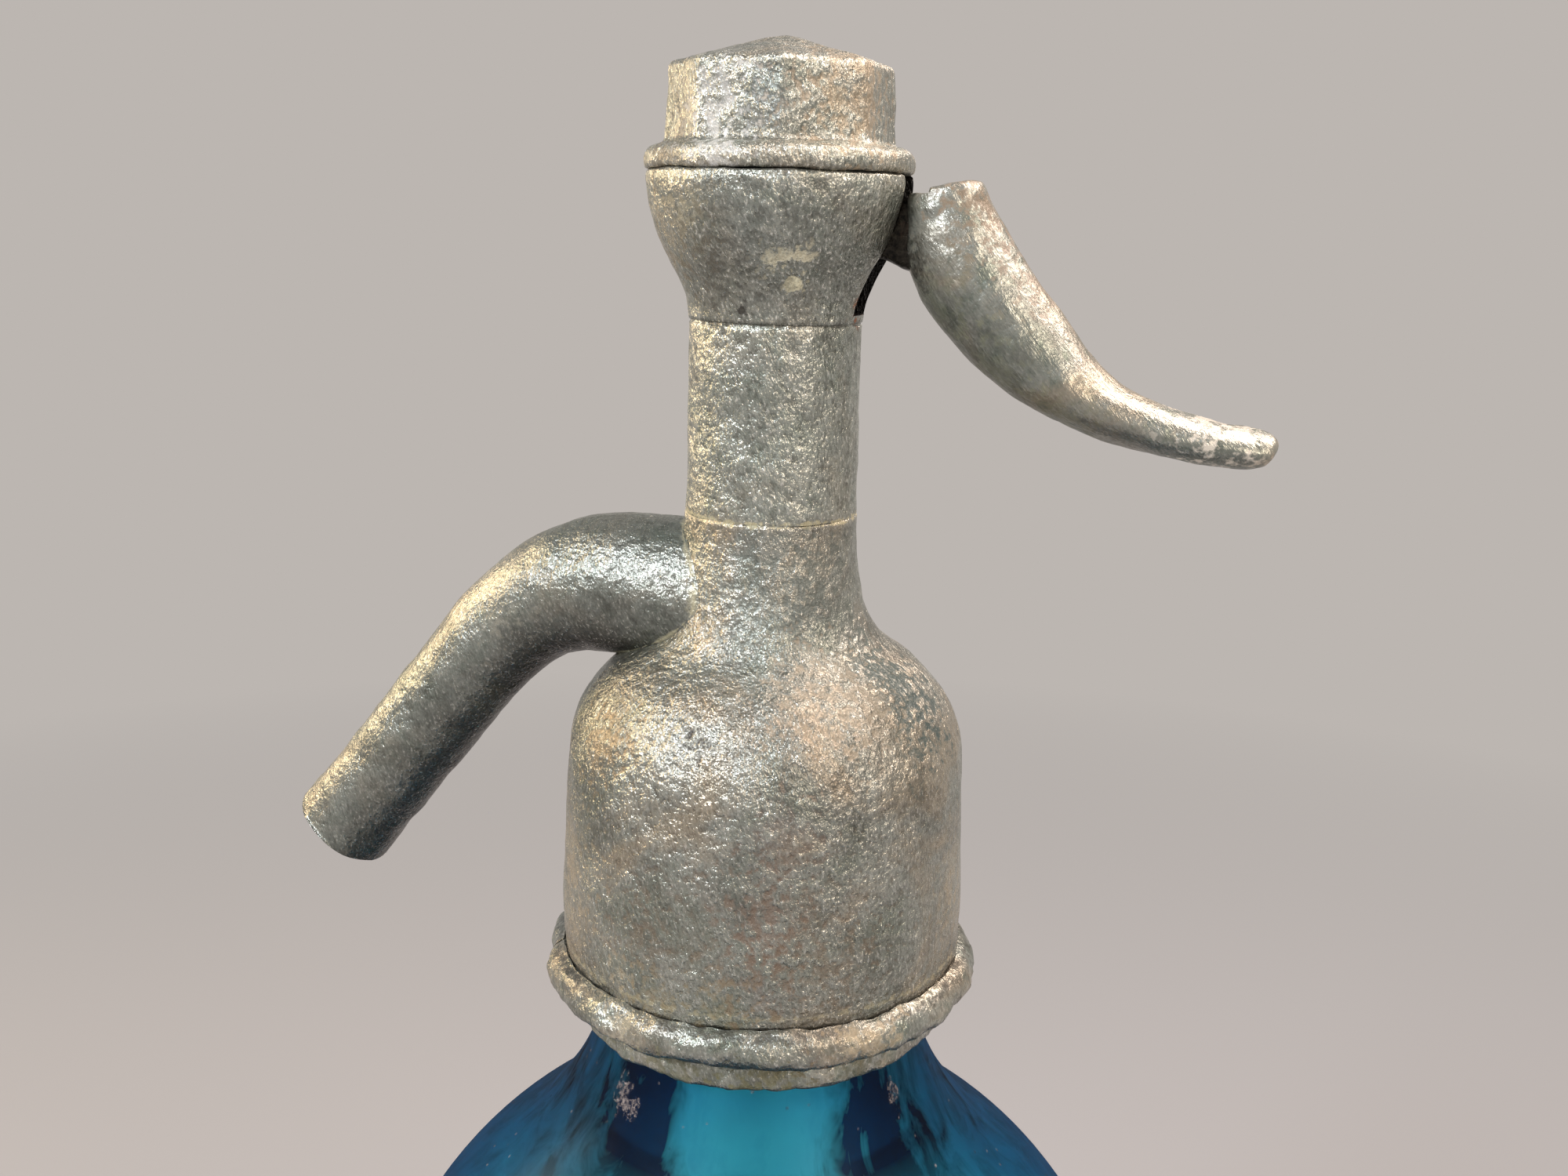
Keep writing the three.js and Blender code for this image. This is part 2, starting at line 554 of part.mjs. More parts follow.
// Valve rubber in its holder, at the foot of the rod
addPiece('valve_rubber', turned([
  at(0, rubberZ),
  at(RUBBER_RADIUS, rubberZ),
  at(RUBBER_RADIUS, rubberZ + RUBBER_HEIGHT),
  at(0, rubberZ + RUBBER_HEIGHT),
], SMALL_SIDES), RUBBER);
const rodClearRadius = ROD_RADIUS + SEAT_GAP;
const rubberCeilingZ = rubberZ + RUBBER_HEIGHT + SEAT_GAP;
addPiece('valve_holder', turned([
  at(0, rubberCeilingZ),
  at(RUBBER_RADIUS + SEAT_GAP, rubberCeilingZ),
  at(RUBBER_RADIUS + SEAT_GAP, holderZ),
  at(holderRadius, holderZ),
  at(holderRadius, rodZ + HOLDER_SOCKET),
  at(rodClearRadius, rodZ + HOLDER_SOCKET),
  at(rodClearRadius, rodZ - SEAT_GAP),
  at(0, rodZ - SEAT_GAP),
], SMALL_SIDES), BRASS);

// Valve rod: a stem, a shoulder for the seal and a mortised head that the lever arm lifts
function valveRod() {
  const stem = turned([
    at(0, rodZ),
    at(ROD_RADIUS, rodZ),
    at(ROD_RADIUS, rodShoulderZ),
    at(ROD_SHOULDER_RADIUS, rodShoulderZ),
    at(ROD_SHOULDER_RADIUS, rodHeadZ),
    at(ROD_HEAD_RADIUS, rodHeadZ),
    at(ROD_HEAD_RADIUS, rodTopZ),
    at(ROD_TIP_RADIUS, rodTopZ),
    at(ROD_TIP_RADIUS, rodTopZ + ROD_TIP_HEIGHT),
    at(0, rodTopZ + ROD_TIP_HEIGHT),
  ], SMALL_SIDES);
  const reach = ROD_HEAD_RADIUS + CUT_OVERRUN;
  const halfMortise = ARM_NOSE_THICKNESS / 2 + SEAT_GAP;
  return stem.subtract(block(
    [-reach, -halfMortise, pivotZ - MORTISE_BELOW],
    [reach, halfMortise, pivotZ + MORTISE_ABOVE],
  ));
}
addPiece('valve_rod', valveRod(), BRASS);

// Sliding seal under the rod's shoulder: two cup washers with a spacer between them and a nut below
function cupWasher(top) {
  const lipInner = CUP_RADIUS - CUP_LIP_THICKNESS;
  return turned([
    at(rodClearRadius, top),
    at(CUP_RADIUS, top),
    at(CUP_RADIUS, top - CUP_DEPTH),
    at(lipInner, top - CUP_DEPTH),
    at(lipInner, top - CUP_THICKNESS),
    at(rodClearRadius, top - CUP_THICKNESS),
  ], SMALL_SIDES);
}
const upperCupTop = rodShoulderZ - SEAT_GAP;
const spacerZ = upperCupTop - CUP_THICKNESS - SEAT_GAP - SPACER_HEIGHT;
const lowerCupTop = spacerZ - SEAT_GAP;
const nutZ = lowerCupTop - CUP_THICKNESS - SEAT_GAP - NUT_HEIGHT;
addPiece('upper_cup_washer', cupWasher(upperCupTop), LEATHER);
addPiece('piston_spacer', ring(SPACER_RADIUS, rodClearRadius, spacerZ, SPACER_HEIGHT, SMALL_SIDES), BRASS);
addPiece('lower_cup_washer', cupWasher(lowerCupTop), LEATHER);
const nutBore = ring(rodClearRadius, 0, nutZ - CUT_OVERRUN, NUT_HEIGHT + CUT_OVERRUN * 2, SMALL_SIDES);
addPiece('piston_nut', ring(NUT_RADIUS, 0, nutZ, NUT_HEIGHT, NUT_SIDES).subtract(nutBore), BRASS);

// Head column: spigot, upper column and the slotted bulb
function headColumn() {
  const boreZ = rimZ - BULB_BORE_DEPTH;
  const ledgeZ = capSpigotZ - SEAT_GAP;
  const mouthRadius = CAP_SPIGOT_RADIUS + SEAT_GAP;
  const body = turned([
    at(COLUMN_BORE_RADIUS, spigotFootZ),
    at(spigotRadius, spigotFootZ),
    at(spigotRadius, jointZ),
    at(COLUMN_RADIUS, jointZ),
    ...outlinePoints(BULB_OUTLINE_SHARES, COLUMN_RADIUS, BULB_RADIUS, bulbZ, BULB_HEIGHT),
    at(mouthRadius, rimZ),
    at(mouthRadius, ledgeZ),
    at(BULB_BORE_RADIUS, ledgeZ),
    at(BULB_BORE_RADIUS, boreZ),
    at(COLUMN_BORE_RADIUS, boreZ - BULB_BORE_RADIUS + COLUMN_BORE_RADIUS),
  ]);
  const slot = block(
    [0, -SLOT_WIDTH / 2, rimZ - SLOT_DEPTH],
    [BULB_RADIUS + CUT_OVERRUN, SLOT_WIDTH / 2, rimZ + CUT_OVERRUN],
  );
  const grooveLength = PIVOT_LENGTH + SEAT_GAP * 2;
  const groove = crossBar(pinClearRadius, grooveLength, PIVOT_OUT, pivotZ).add(block(
    [PIVOT_OUT - pinClearRadius, -grooveLength / 2, pivotZ],
    [PIVOT_OUT + pinClearRadius, grooveLength / 2, ledgeZ + CUT_OVERRUN],
  ));
  return body.subtract(slot).subtract(groove);
}
addPiece('head_column', headColumn(), PEWTER);

// Screw cap: eight-sided, with a low pyramid top, a round flange and a hollow spigot for the spring
function screwCap() {
  const sideZ = capZ + CAP_FLANGE_HEIGHT;
  const sides = new THREE.CylinderGeometry(CAP_EDGE_RADIUS, CAP_FOOT_RADIUS, CAP_SIDE_HEIGHT, CAP_SIDES);
  sides.rotateX(Math.PI / 2);
  sides.rotateZ(CAP_TURN);
  sides.translate(0, 0, sideZ + CAP_SIDE_HEIGHT / 2);
  const pyramid = new THREE.CylinderGeometry(0, CAP_EDGE_RADIUS, CAP_PYRAMID_HEIGHT, CAP_SIDES);
  pyramid.rotateX(Math.PI / 2);
  pyramid.rotateZ(CAP_TURN);
  pyramid.translate(0, 0, capTopZ + CAP_PYRAMID_HEIGHT / 2);
  const flange = turned([
    at(0, capSpigotZ),
    at(CAP_SPIGOT_RADIUS, capSpigotZ),
    at(CAP_SPIGOT_RADIUS, capZ),
    at(CAP_FLANGE_RADIUS, capZ),
    at(CAP_FLANGE_RADIUS, capZ + CAP_FLANGE_HEIGHT / 3),
    at((CAP_FLANGE_RADIUS + CAP_FOOT_RADIUS) / 2, sideZ - CAP_FLANGE_HEIGHT / 4),
    at(CAP_FOOT_RADIUS - SEAT_GAP, sideZ),
    at(0, sideZ),
  ]);
  const boreHeight = capCeilingZ - capSpigotZ + CUT_OVERRUN;
  const bore = ring(CAP_BORE_RADIUS, 0, capSpigotZ - CUT_OVERRUN, boreHeight, SMALL_SIDES);
  return flange.add(toSolid(sides)).add(toSolid(pyramid)).subtract(bore);
}
addPiece('screw_cap', screwCap(), PEWTER);

// Main spring: one round wire wound between the rod's head and the cap's ceiling
const springFootZ = rodTopZ + SEAT_GAP + SPRING_WIRE_RADIUS;
const springRise = capCeilingZ - SEAT_GAP - SPRING_WIRE_RADIUS - springFootZ;
const springSteps = SPRING_CURLS * SPRING_STEPS_PER_CURL;
function springPoint(step) {
  const angle = 2 * Math.PI * step / SPRING_STEPS_PER_CURL;
  const x = SPRING_MEAN_RADIUS * Math.cos(angle);
  const y = SPRING_MEAN_RADIUS * Math.sin(angle);
  return new THREE.Vector3(x, y, springFootZ + springRise * step / springSteps);
}
function mainSpring() {
  const rings = [];
  for (let i = 0; i <= springSteps; i += 1) {
    const centre = springPoint(i);
    const outwards = new THREE.Vector3(centre.x, centre.y, 0).normalize();
    const along = springPoint(i + 1).sub(springPoint(i - 1)).normalize();
    const upwards = new THREE.Vector3().crossVectors(outwards, along).normalize();
    const points = [];
    for (let j = 0; j < SPRING_WIRE_SIDES; j += 1) {
      const angle = -2 * Math.PI * j / SPRING_WIRE_SIDES;
      const point = centre.clone();
      point.addScaledVector(outwards, SPRING_WIRE_RADIUS * Math.cos(angle));
      point.addScaledVector(upwards, SPRING_WIRE_RADIUS * Math.sin(angle));
      points.push(point);
    }
    rings.push(points);
  }
  return skinned(rings);
}
function springGap() {
  let least = Infinity;
  for (let i = 0; i <= springSteps; i += 1) {
    for (let j = i + SPRING_STEPS_PER_CURL / 2; j <= springSteps; j += 1) {
      least = Math.min(least, springPoint(i).distanceTo(springPoint(j)));
    }
  }
  return least - SPRING_WIRE_RADIUS * 2;
}
addPiece('main_spring', mainSpring(), STEEL);
console.log(`main spring: least gap between its curls ${springGap().toFixed(2)} mm`);

// Pivot pin across the slot
addPiece('pivot_pin', crossBar(PIVOT_RADIUS, PIVOT_LENGTH, PIVOT_OUT, pivotZ), BRASS);

// Lever arm: a boss on the pin, a nose in the rod's mortise and a tail in the horn
const tailEndX = PIVOT_OUT + ARM_TAIL_LENGTH;
function leverArm() {
  const boss = crossBar(ARM_BOSS_RADIUS, ARM_THICKNESS, PIVOT_OUT, pivotZ);
  const tail = block(
    [PIVOT_OUT, -ARM_THICKNESS / 2, pivotZ - ARM_TAIL_HEIGHT / 2],
    [tailEndX, ARM_THICKNESS / 2, pivotZ + ARM_TAIL_HEIGHT / 2],
  );
  const nose = crossBar(ARM_NOSE_RADIUS, ARM_NOSE_THICKNESS, 0, pivotZ);
  const neck = block(
    [0, -ARM_NOSE_THICKNESS / 2, pivotZ - ARM_NECK_HEIGHT / 2],
    [PIVOT_OUT, ARM_NOSE_THICKNESS / 2, pivotZ + ARM_NECK_HEIGHT / 2],
  );
  const eye = crossBar(pinClearRadius, ARM_THICKNESS + CUT_OVERRUN, PIVOT_OUT, pivotZ);
  return boss.add(tail).add(nose).add(neck).subtract(eye);
}
addPiece('lever_arm', leverArm(), STEEL);

// Lever horn: an oval casting that curves down and out, flat towards the bulb, with a pocket for the tail
function leverHorn() {
  const topZ = rimZ - HORN_TOP_BELOW_RIM;
  const path = new THREE.SplineCurve(HORN_PATH_SHARES.map(
    ([out, down]) => at(HORN_FACE_OUT + HORN_LENGTH * out, topZ - HORN_DROP * down),
  ));
  const shareAt = (shares, way) => {
    const place = Math.min(path.getUtoTmapping(way), 1) * (shares.length - 1);
    const index = Math.min(Math.floor(place), shares.length - 2);
    return THREE.MathUtils.lerp(shares[index], shares[index + 1], place - index);
  };
  const depthAt = (way) => HORN_DEPTH * shareAt(HORN_DEPTH_SHARES, way);
  const widthAt = (way) => HORN_WIDTH * shareAt(HORN_WIDTH_SHARES, way);
  const body = swept(path, depthAt, widthAt, HORN_STEPS, SMALL_SIDES);
  const bulbSide = block(
    [0, -BULB_RADIUS, bulbZ],
    [HORN_FACE_OUT, BULB_RADIUS, rimZ + CUT_OVERRUN],
  );
  const bulbRoom = turned([
    at(0, bulbZ),
    ...outlinePoints(BULB_OUTLINE_SHARES, COLUMN_RADIUS, BULB_RADIUS, bulbZ, BULB_HEIGHT)
      .map((point) => at(point.x + SEAT_GAP, point.y)),
    at(0, rimZ),
  ]);
  const pocket = block(
    [0, -ARM_THICKNESS / 2 - SEAT_GAP, pivotZ - ARM_TAIL_HEIGHT / 2 - SEAT_GAP],
    [tailEndX + SEAT_GAP, ARM_THICKNESS / 2 + SEAT_GAP, pivotZ + ARM_TAIL_HEIGHT / 2 + SEAT_GAP],
  );
  return body.subtract(bulbSide).subtract(bulbRoom).subtract(pocket);
}
addPiece('lever_horn', leverHorn(), WORN_PEWTER);

export default siphon;
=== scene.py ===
import math

import bmesh
import bpy
from mathutils import Matrix, Vector, noise


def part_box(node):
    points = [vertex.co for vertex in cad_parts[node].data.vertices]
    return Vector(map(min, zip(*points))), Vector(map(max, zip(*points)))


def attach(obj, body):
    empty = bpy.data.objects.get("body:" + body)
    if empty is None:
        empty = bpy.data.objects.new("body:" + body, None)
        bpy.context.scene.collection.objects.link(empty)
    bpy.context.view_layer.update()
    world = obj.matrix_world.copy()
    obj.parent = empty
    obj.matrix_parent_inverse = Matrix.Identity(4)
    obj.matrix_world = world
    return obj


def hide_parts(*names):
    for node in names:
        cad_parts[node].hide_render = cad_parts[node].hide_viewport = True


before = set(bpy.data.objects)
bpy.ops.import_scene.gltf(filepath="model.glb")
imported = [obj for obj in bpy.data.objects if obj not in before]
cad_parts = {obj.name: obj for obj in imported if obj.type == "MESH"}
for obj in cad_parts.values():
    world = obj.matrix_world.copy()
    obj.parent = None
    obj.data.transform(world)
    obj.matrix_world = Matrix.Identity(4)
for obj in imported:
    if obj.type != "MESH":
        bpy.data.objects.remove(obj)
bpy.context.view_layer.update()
mm = 0.001

# Camera, at the photograph's place: a little above the bell and close to it, tipped down at the head.
# It stands off the plane of spout and lever, on the lever's side.
bell_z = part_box("head_base")[0].z
lever_turn = math.radians(14)
camera_distance = 160.9 * mm
camera_height = 81 * mm
camera_yaw = math.radians(0.577)
camera_pitch = math.radians(13.75)
camera_roll = math.radians(1.505)
across = Vector((math.cos(lever_turn - camera_yaw), math.sin(lever_turn - camera_yaw), 0))
ahead = Vector((0, 0, 1)).cross(across) * math.cos(camera_pitch) - Vector((0, 0, math.sin(camera_pitch)))
above = across.cross(ahead)
level = across * math.cos(camera_roll) + above * math.sin(camera_roll)
upright = above * math.cos(camera_roll) - across * math.sin(camera_roll)
bpy.ops.object.camera_add()
camera = bpy.context.object
camera.data.lens = 34.2
camera.data.sensor_width = 36
camera.data.clip_start = 10 * mm
camera.matrix_world = Matrix((level, upright, -ahead)).transposed().to_4x4()
camera.location = (camera_distance * math.sin(lever_turn), -camera_distance * math.cos(lever_turn),
                   bell_z + camera_height)
bpy.context.scene.camera = camera
bpy.context.scene.view_settings.view_transform = "Standard"


# Floor and world: a wide pale plate under the siphon that fades into a backdrop of the same colour.
# The first section that needs colours and nodes also holds the functions that make them.
def linear(hex_colour):
    """A colour written as sRGB hex, for a node's colour socket."""
    parts = [int(hex_colour[i:i + 2], 16) / 255 for i in (0, 2, 4)]
    return (*[c / 12.92 if c <= 0.04045 else ((c + 0.055) / 1.055) ** 2.4 for c in parts], 1)


def add_node(tree, kind, inputs=None, stops=(), **settings):
    """One node with its settings. Each input is a value, an output, or a node, which gives its first live output.
    stops are the places and colours of a colour ramp."""
    node = tree.nodes.new("ShaderNode" + kind)
    for name, value in settings.items():
        setattr(node, name, value)
    for position, hex_colour in stops:
        node.color_ramp.elements.new(position).color = linear(hex_colour)
    if stops:
        node.color_ramp.elements.remove(node.color_ramp.elements[0])
        node.color_ramp.elements.remove(node.color_ramp.elements[-1])
    for socket, value in (inputs or {}).items():
        if isinstance(value, bpy.types.Node):
            value = next(output for output in value.outputs if output.enabled)
        if isinstance(value, bpy.types.NodeSocket):
            tree.links.new(value, node.inputs[socket])
        else:
            node.inputs[socket].default_value = value
    return node


def new_material(name):
    """An empty node material, its tree, and the place on the piece that its patterns are drawn from."""
    material = bpy.data.materials.new(name)
    material.use_nodes = True
    material.node_tree.nodes.clear()
    return material, material.node_tree, add_node(material.node_tree, "TexCoord").outputs["Object"]


backdrop_colour = linear("bcb6b1")
floor_radius = 3
floor_z = -0.2 * mm
fade_start = 0.2
fade_end = 0.8
bpy.ops.mesh.primitive_circle_add(vertices=96, radius=floor_radius, fill_type="NGON", location=(0, 0, floor_z))
studio_floor = bpy.context.object
studio_floor.name = "studio_floor"
floor_paper, tree, place = new_material("floor_paper")
from_middle = add_node(tree, "VectorMath", {0: place}, operation="LENGTH")
fade = add_node(tree, "MapRange", {"Value": from_middle, "From Min": fade_start, "From Max": fade_end})
paper = add_node(tree, "BsdfDiffuse", {"Color": linear("aeafb3")})
glow = add_node(tree, "Emission", {"Color": backdrop_colour, "Strength": 1})
add_node(tree, "OutputMaterial", {"Surface": add_node(tree, "MixShader", {0: fade, 1: paper, 2: glow})})
studio_floor.data.materials.append(floor_paper)

world = bpy.data.worlds.new("studio_world")
bpy.context.scene.world = world
world.use_nodes = True
tree = world.node_tree
tree.nodes.clear()
rays = add_node(tree, "LightPath").outputs
seen = add_node(tree, "Math", {0: rays["Is Camera Ray"], 1: rays["Is Transmission Ray"]}, operation="MAXIMUM")
seen = add_node(tree, "Math", {0: seen, 1: rays["Is Glossy Ray"]}, operation="MAXIMUM")
direction = add_node(tree, "SeparateXYZ", {0: add_node(tree, "TexCoord").outputs["Generated"]})
overhead = add_node(tree, "MapRange", {"Value": direction.outputs["Z"], "From Min": 0.2, "From Max": 0.7})
ceiling = add_node(tree, "Mix", {0: overhead, 6: backdrop_colour, 7: linear("8f8f8f")}, data_type="RGBA")
room = add_node(tree, "Background", {"Color": linear("d2d2d0"), "Strength": 0.55})
behind = add_node(tree, "Background", {"Color": ceiling, "Strength": 1})
add_node(tree, "OutputWorld", {"Surface": add_node(tree, "MixShader", {0: seen, 1: room, 2: behind})})

lamp_target = Vector((0, 0, bell_z + 40 * mm))
for name, location, size, watts, hex_colour in (
        ("front_left_softbox", (-0.32, -0.55, 0.72), 0.22, 4.2, "f6f8ff"),
        ("left_softbox", (-0.62, 0.06, 0.42), 0.26, 2.15, "ffdeb2"),
        ("top_right_softbox", (0.36, 0.26, 0.82), 0.45, 5.5, "ffe9dc"),
        ("front_right_softbox", (0.62, -0.45, 0.6), 0.32, 2.6, "ffe9d6")):
    bpy.ops.object.light_add(type="AREA", location=location)
    lamp = bpy.context.object
    lamp.name = name
    lamp.data.energy = watts
    lamp.data.size = size
    lamp.data.color = linear(hex_colour)[:3]
    lamp.rotation_euler = (lamp_target - Vector(location)).to_track_quat("-Z", "Y").to_euler()
    lamp.visible_transmission = False


# Pewter: tin alloy cast in a mould and long since tarnished, so it is a dull metal with fine grainy pits that
# sparkle, partly through their bumps and partly as painted glints (near-white grains), greenish and warm patches,
# dark grime in its hollows, brighter metal where hands have rubbed it, and painted shade on faces that look down.
# The grains are drawn at 0.3 mm, a little coarser than real, so that they show.
def ragged_spot(tree, place, middle, unevenness, swing, rim, core, strength):
    """The mask of a spot with a torn outline, which starts at its rim and is full at its core. Lengths are in mm,
    and middle's height is above the bell's foot."""
    x, y, z = middle
    away = add_node(tree, "VectorMath", {0: place, 1: (x * mm, y * mm, bell_z + z * mm)}, operation="DISTANCE")
    torn = add_node(tree, "MapRange", {"Value": unevenness, "From Min": 0.34, "From Max": 0.66,
                                       "To Min": -swing * mm, "To Max": swing * mm})
    reach = add_node(tree, "Math", {0: away, 1: torn}, operation="ADD")
    return add_node(tree, "MapRange", {"Value": reach, "From Min": rim * mm, "From Max": core * mm,
                                       "To Max": strength})


def pewter(name, warmth=0.5, lean=-0.35, scratches=0.25, grime=(), creams=(), stains_and_painted_light=(), polish=0.0, green=0.4,
           underside_shade=0.6, dark=0.5, hollows=0.75, tone=1.0, pits=0.42, extra=None):
    """grime and creams are bands round Z (height, half width, strength) in metres. The listed patches are stains, and
    on the cap and horn also painted highlights and painted shade (place with its height above the bell's foot,
    radius, colour, strength) in mm. pits is the depth of the casting's pits in mm.
    extra is one more (colour, mask function). The strength for faces that look down darkens them as painted shade.
    The other numbers are strengths, apart from lean, the grain's slope."""
    grain_size = (0.27 * mm, 0.27 * mm, 0.55 * mm)
    scratch_size = (0.36 * mm, 0.36 * mm, 2.4 * mm)
    material, tree, place = new_material(name)
    facing_up = add_node(tree, "SeparateXYZ", {0: add_node(tree, "TexCoord").outputs["Normal"]}).outputs["Z"]
    wear = add_node(tree, "Attribute", attribute_name="wear").outputs["Fac"]
    short, long = [
        add_node(tree, "Mapping", {"Vector": place, "Rotation": (0, lean, 0), "Scale": size}, vector_type="TEXTURE")
        for size in (grain_size, scratch_size)]
    grain = add_node(tree, "TexNoise", {"Vector": short, "Scale": 1, "Detail": 2, "Roughness": 0.6})
    scratch = add_node(tree, "TexNoise", {"Vector": long, "Scale": 1, "Detail": 3, "Roughness": 0.65})
    cobbles, lumps, patches, stains, bloom = [
        add_node(tree, "TexNoise", {"Vector": place, "Scale": 1 / (width * mm), "Detail": detail,
                                    "Roughness": roughness, "Distortion": distortion})
        for width, detail, roughness, distortion in (
            (1.1, 3, 0.6, 0), (5, 4, 0.6, 0), (13, 6, 0.62, 0.8), (8, 8, 0.68, 0.5), (3.4, 7, 0.75, 0.5))]
    grey = add_node(tree, "ValToRGB", {"Fac": patches}, stops=((0.37, "92988e"), (0.5, "abada5"), (0.63, "b8ad9a")))
    colour = add_node(tree, "Mix", {0: warmth, 6: linear("9fa59e"), 7: grey}, data_type="RGBA")
    unrubbed = 1 - polish
    for source, start, full, strength, hex_colour in (
            (bloom, 0.5, 0.62, green, "77857a"),
            (stains, 0.47, 0.64, dark, "48453c"),
            (grain, 0.48, 0.34, 0.2 * unrubbed, "3b372f"),
            (cobbles, 0.47, 0.33, 0.42 * unrubbed, "37332b"),
            (cobbles, 0.55, 0.68, 0.2 * unrubbed, "dedacd"),
            # painted shade: faces that look down are darkened, as the shade under a piece
            (facing_up, 0.15, -0.7, underside_shade, "2b2824"),
            (wear, -0.15, -0.7, hollows, "35312a"),
            (wear, 0.12, 0.8, 0.5, "cfc8b8"),
            # painted glints: the brightest grains are painted near white, as sparkle that does not follow the light
            (grain, 0.58, 0.7, 0.42 * unrubbed, "e6e4dc")):
        mask = add_node(tree, "MapRange", {"Value": source, "From Min": start, "From Max": full, "To Max": strength})
        colour = add_node(tree, "Mix", {0: mask, 6: colour, 7: linear(hex_colour)}, data_type="RGBA")
    speckle = add_node(tree, "MapRange", {"Value": grain, "From Min": 0.34, "From Max": 0.66,
                                          "To Min": (0.88 + 0.04 * polish) * tone,
                                          "To Max": (1.18 - 0.08 * polish) * tone})
    streak = add_node(tree, "MapRange", {"Value": scratch, "From Min": 0.35, "From Max": 0.65,
                                         "To Min": 1 - 0.35 * scratches, "To Max": 1 + 0.3 * scratches})
    shade = add_node(tree, "Math", {0: speckle, 1: streak}, operation="MULTIPLY")
    colour = add_node(tree, "VectorMath", {0: colour, 3: shade}, operation="SCALE")
    height = add_node(tree, "SeparateXYZ", {0: place}).outputs["Z"]
    covers = []
    for hex_colour, bands in (("2a2620", grime), ("cfc6a0", creams)):
        for band_z, half_width, strength in bands:
            off = add_node(tree, "Math", {0: height, 1: band_z}, operation="SUBTRACT")
            off = add_node(tree, "Math", {0: off}, operation="ABSOLUTE")
            wobble = add_node(tree, "MapRange", {"Value": cobbles, "From Min": 0.35, "From Max": 0.65,
                                                 "To Min": half_width * 1.5, "To Max": -half_width})
            inside = add_node(tree, "Math", {0: off, 1: wobble}, operation="SUBTRACT")
            covers.append((hex_colour, add_node(tree, "MapRange", {
                "Value": inside, "From Min": half_width * 0.7, "From Max": -half_width * 0.3, "To Max": strength})))
    if extra:
        covers.append((extra[0], extra[1](tree, place)))
    for middle, radius, hex_colour, strength in stains_and_painted_light:
        covers.append((hex_colour, ragged_spot(tree, place, middle, cobbles, swing=radius * 1.3, rim=radius * 1.2,
                                               core=radius * 0.2, strength=strength)))
    dull = add_node(tree, "MapRange", {"Value": stains, "From Min": 0.5, "From Max": 0.7, "To Max": 0.35 * unrubbed})
    for hex_colour, mask in covers:
        colour = add_node(tree, "Mix", {0: mask, 6: colour, 7: linear(hex_colour)}, data_type="RGBA")
        dull = add_node(tree, "Math", {0: mask, 1: dull}, operation="ADD")
    rough = add_node(tree, "MapRange", {"Value": grain, "From Min": 0.34, "From Max": 0.66,
                                        "To Min": 0.41 - 0.02 * polish, "To Max": 0.2 + 0.14 * polish})
    metal = add_node(tree, "MapRange", {"Value": dull, "To Min": 0.92, "To Max": 0.08})
    bumps = add_node(tree, "Bump", {"Height": lumps, "Strength": 0.7 - 0.4 * polish, "Distance": 0.8 * mm})
    for relief, strength, depth in ((cobbles, 0.75 - 0.55 * polish, pits), (scratch, scratches, 0.26),
                                    (grain, 0.9 - 0.8 * polish, 0.15)):
        bumps = add_node(tree, "Bump", {"Height": relief, "Strength": strength, "Distance": depth * mm,
                                        "Normal": bumps})
    skin = add_node(tree, "BsdfPrincipled", {"Base Color": colour, "Metallic": metal, "Roughness": rough,
                                             "Normal": bumps})
    add_node(tree, "OutputMaterial", {"Surface": skin})
    return material


def from_level(level_z, *points):
    """Outline points (radius, height) in metres, from points in mm above a level."""
    return [(radius * mm, level_z + height * mm) for radius, height in points]


def smooth_outline(points, steps):
    """Points on a smooth curve through a few outline points."""
    ends = [points[0], *points, points[-1]]
    drawn = []
    for a, b, c, d in zip(ends, ends[1:], ends[2:], ends[3:]):
        for i in range(steps):
            t = i / steps
            drawn.append(tuple(
                0.5 * (2 * q + (r - p) * t + (2 * p - 5 * q + 4 * r - s) * t * t + (3 * q - p - 3 * r + s) * t ** 3)
                for p, q, r, s in zip(a, b, c, d)))
    return [*drawn, points[-1]]


def turn_about_z(name, outline, steps):
    """A body of revolution: one vertex is drawn out along the outline (radius, height), then spun."""
    bpy.ops.object.select_all(action="DESELECT")
    bpy.ops.mesh.primitive_plane_add(size=1 * mm, location=(0, 0, 0))
    piece = bpy.context.object
    piece.name = name
    bpy.ops.object.mode_set(mode="EDIT")
    bpy.ops.mesh.select_mode(type="VERT")
    bpy.ops.mesh.select_all(action="SELECT")
    bpy.ops.mesh.merge(type="CENTER")
    bpy.ops.transform.translate(value=(outline[0][0], 0, outline[0][1]))
    for (r0, z0), (r1, z1) in zip(outline, outline[1:]):
        bpy.ops.mesh.extrude_vertices_move(TRANSFORM_OT_translate={"value": (r1 - r0, 0, z1 - z0)})
    bpy.ops.mesh.select_all(action="SELECT")
    bpy.ops.mesh.spin(steps=steps, angle=2 * math.pi, center=(0, 0, 0), axis=(0, 0, 1))
    bpy.ops.mesh.select_all(action="SELECT")
    bpy.ops.mesh.remove_doubles(threshold=0.005 * mm)
    bpy.ops.mesh.normals_make_consistent(inside=False)
    bpy.ops.object.mode_set(mode="OBJECT")
    bpy.ops.object.shade_smooth()
    return piece


def roughen(piece, size, depth, seed):
    """Moves a casting's skin in and out by an uneven surface with hollows of the given size."""
    offset = Vector((seed, seed * 2, seed * 3))
    normals = [v.normal.copy() for v in piece.data.vertices]
    for vertex, normal in zip(piece.data.vertices, normals):
        vertex.co += normal * depth * noise.fractal(vertex.co / size + offset, 0.7, 2.0, 3)


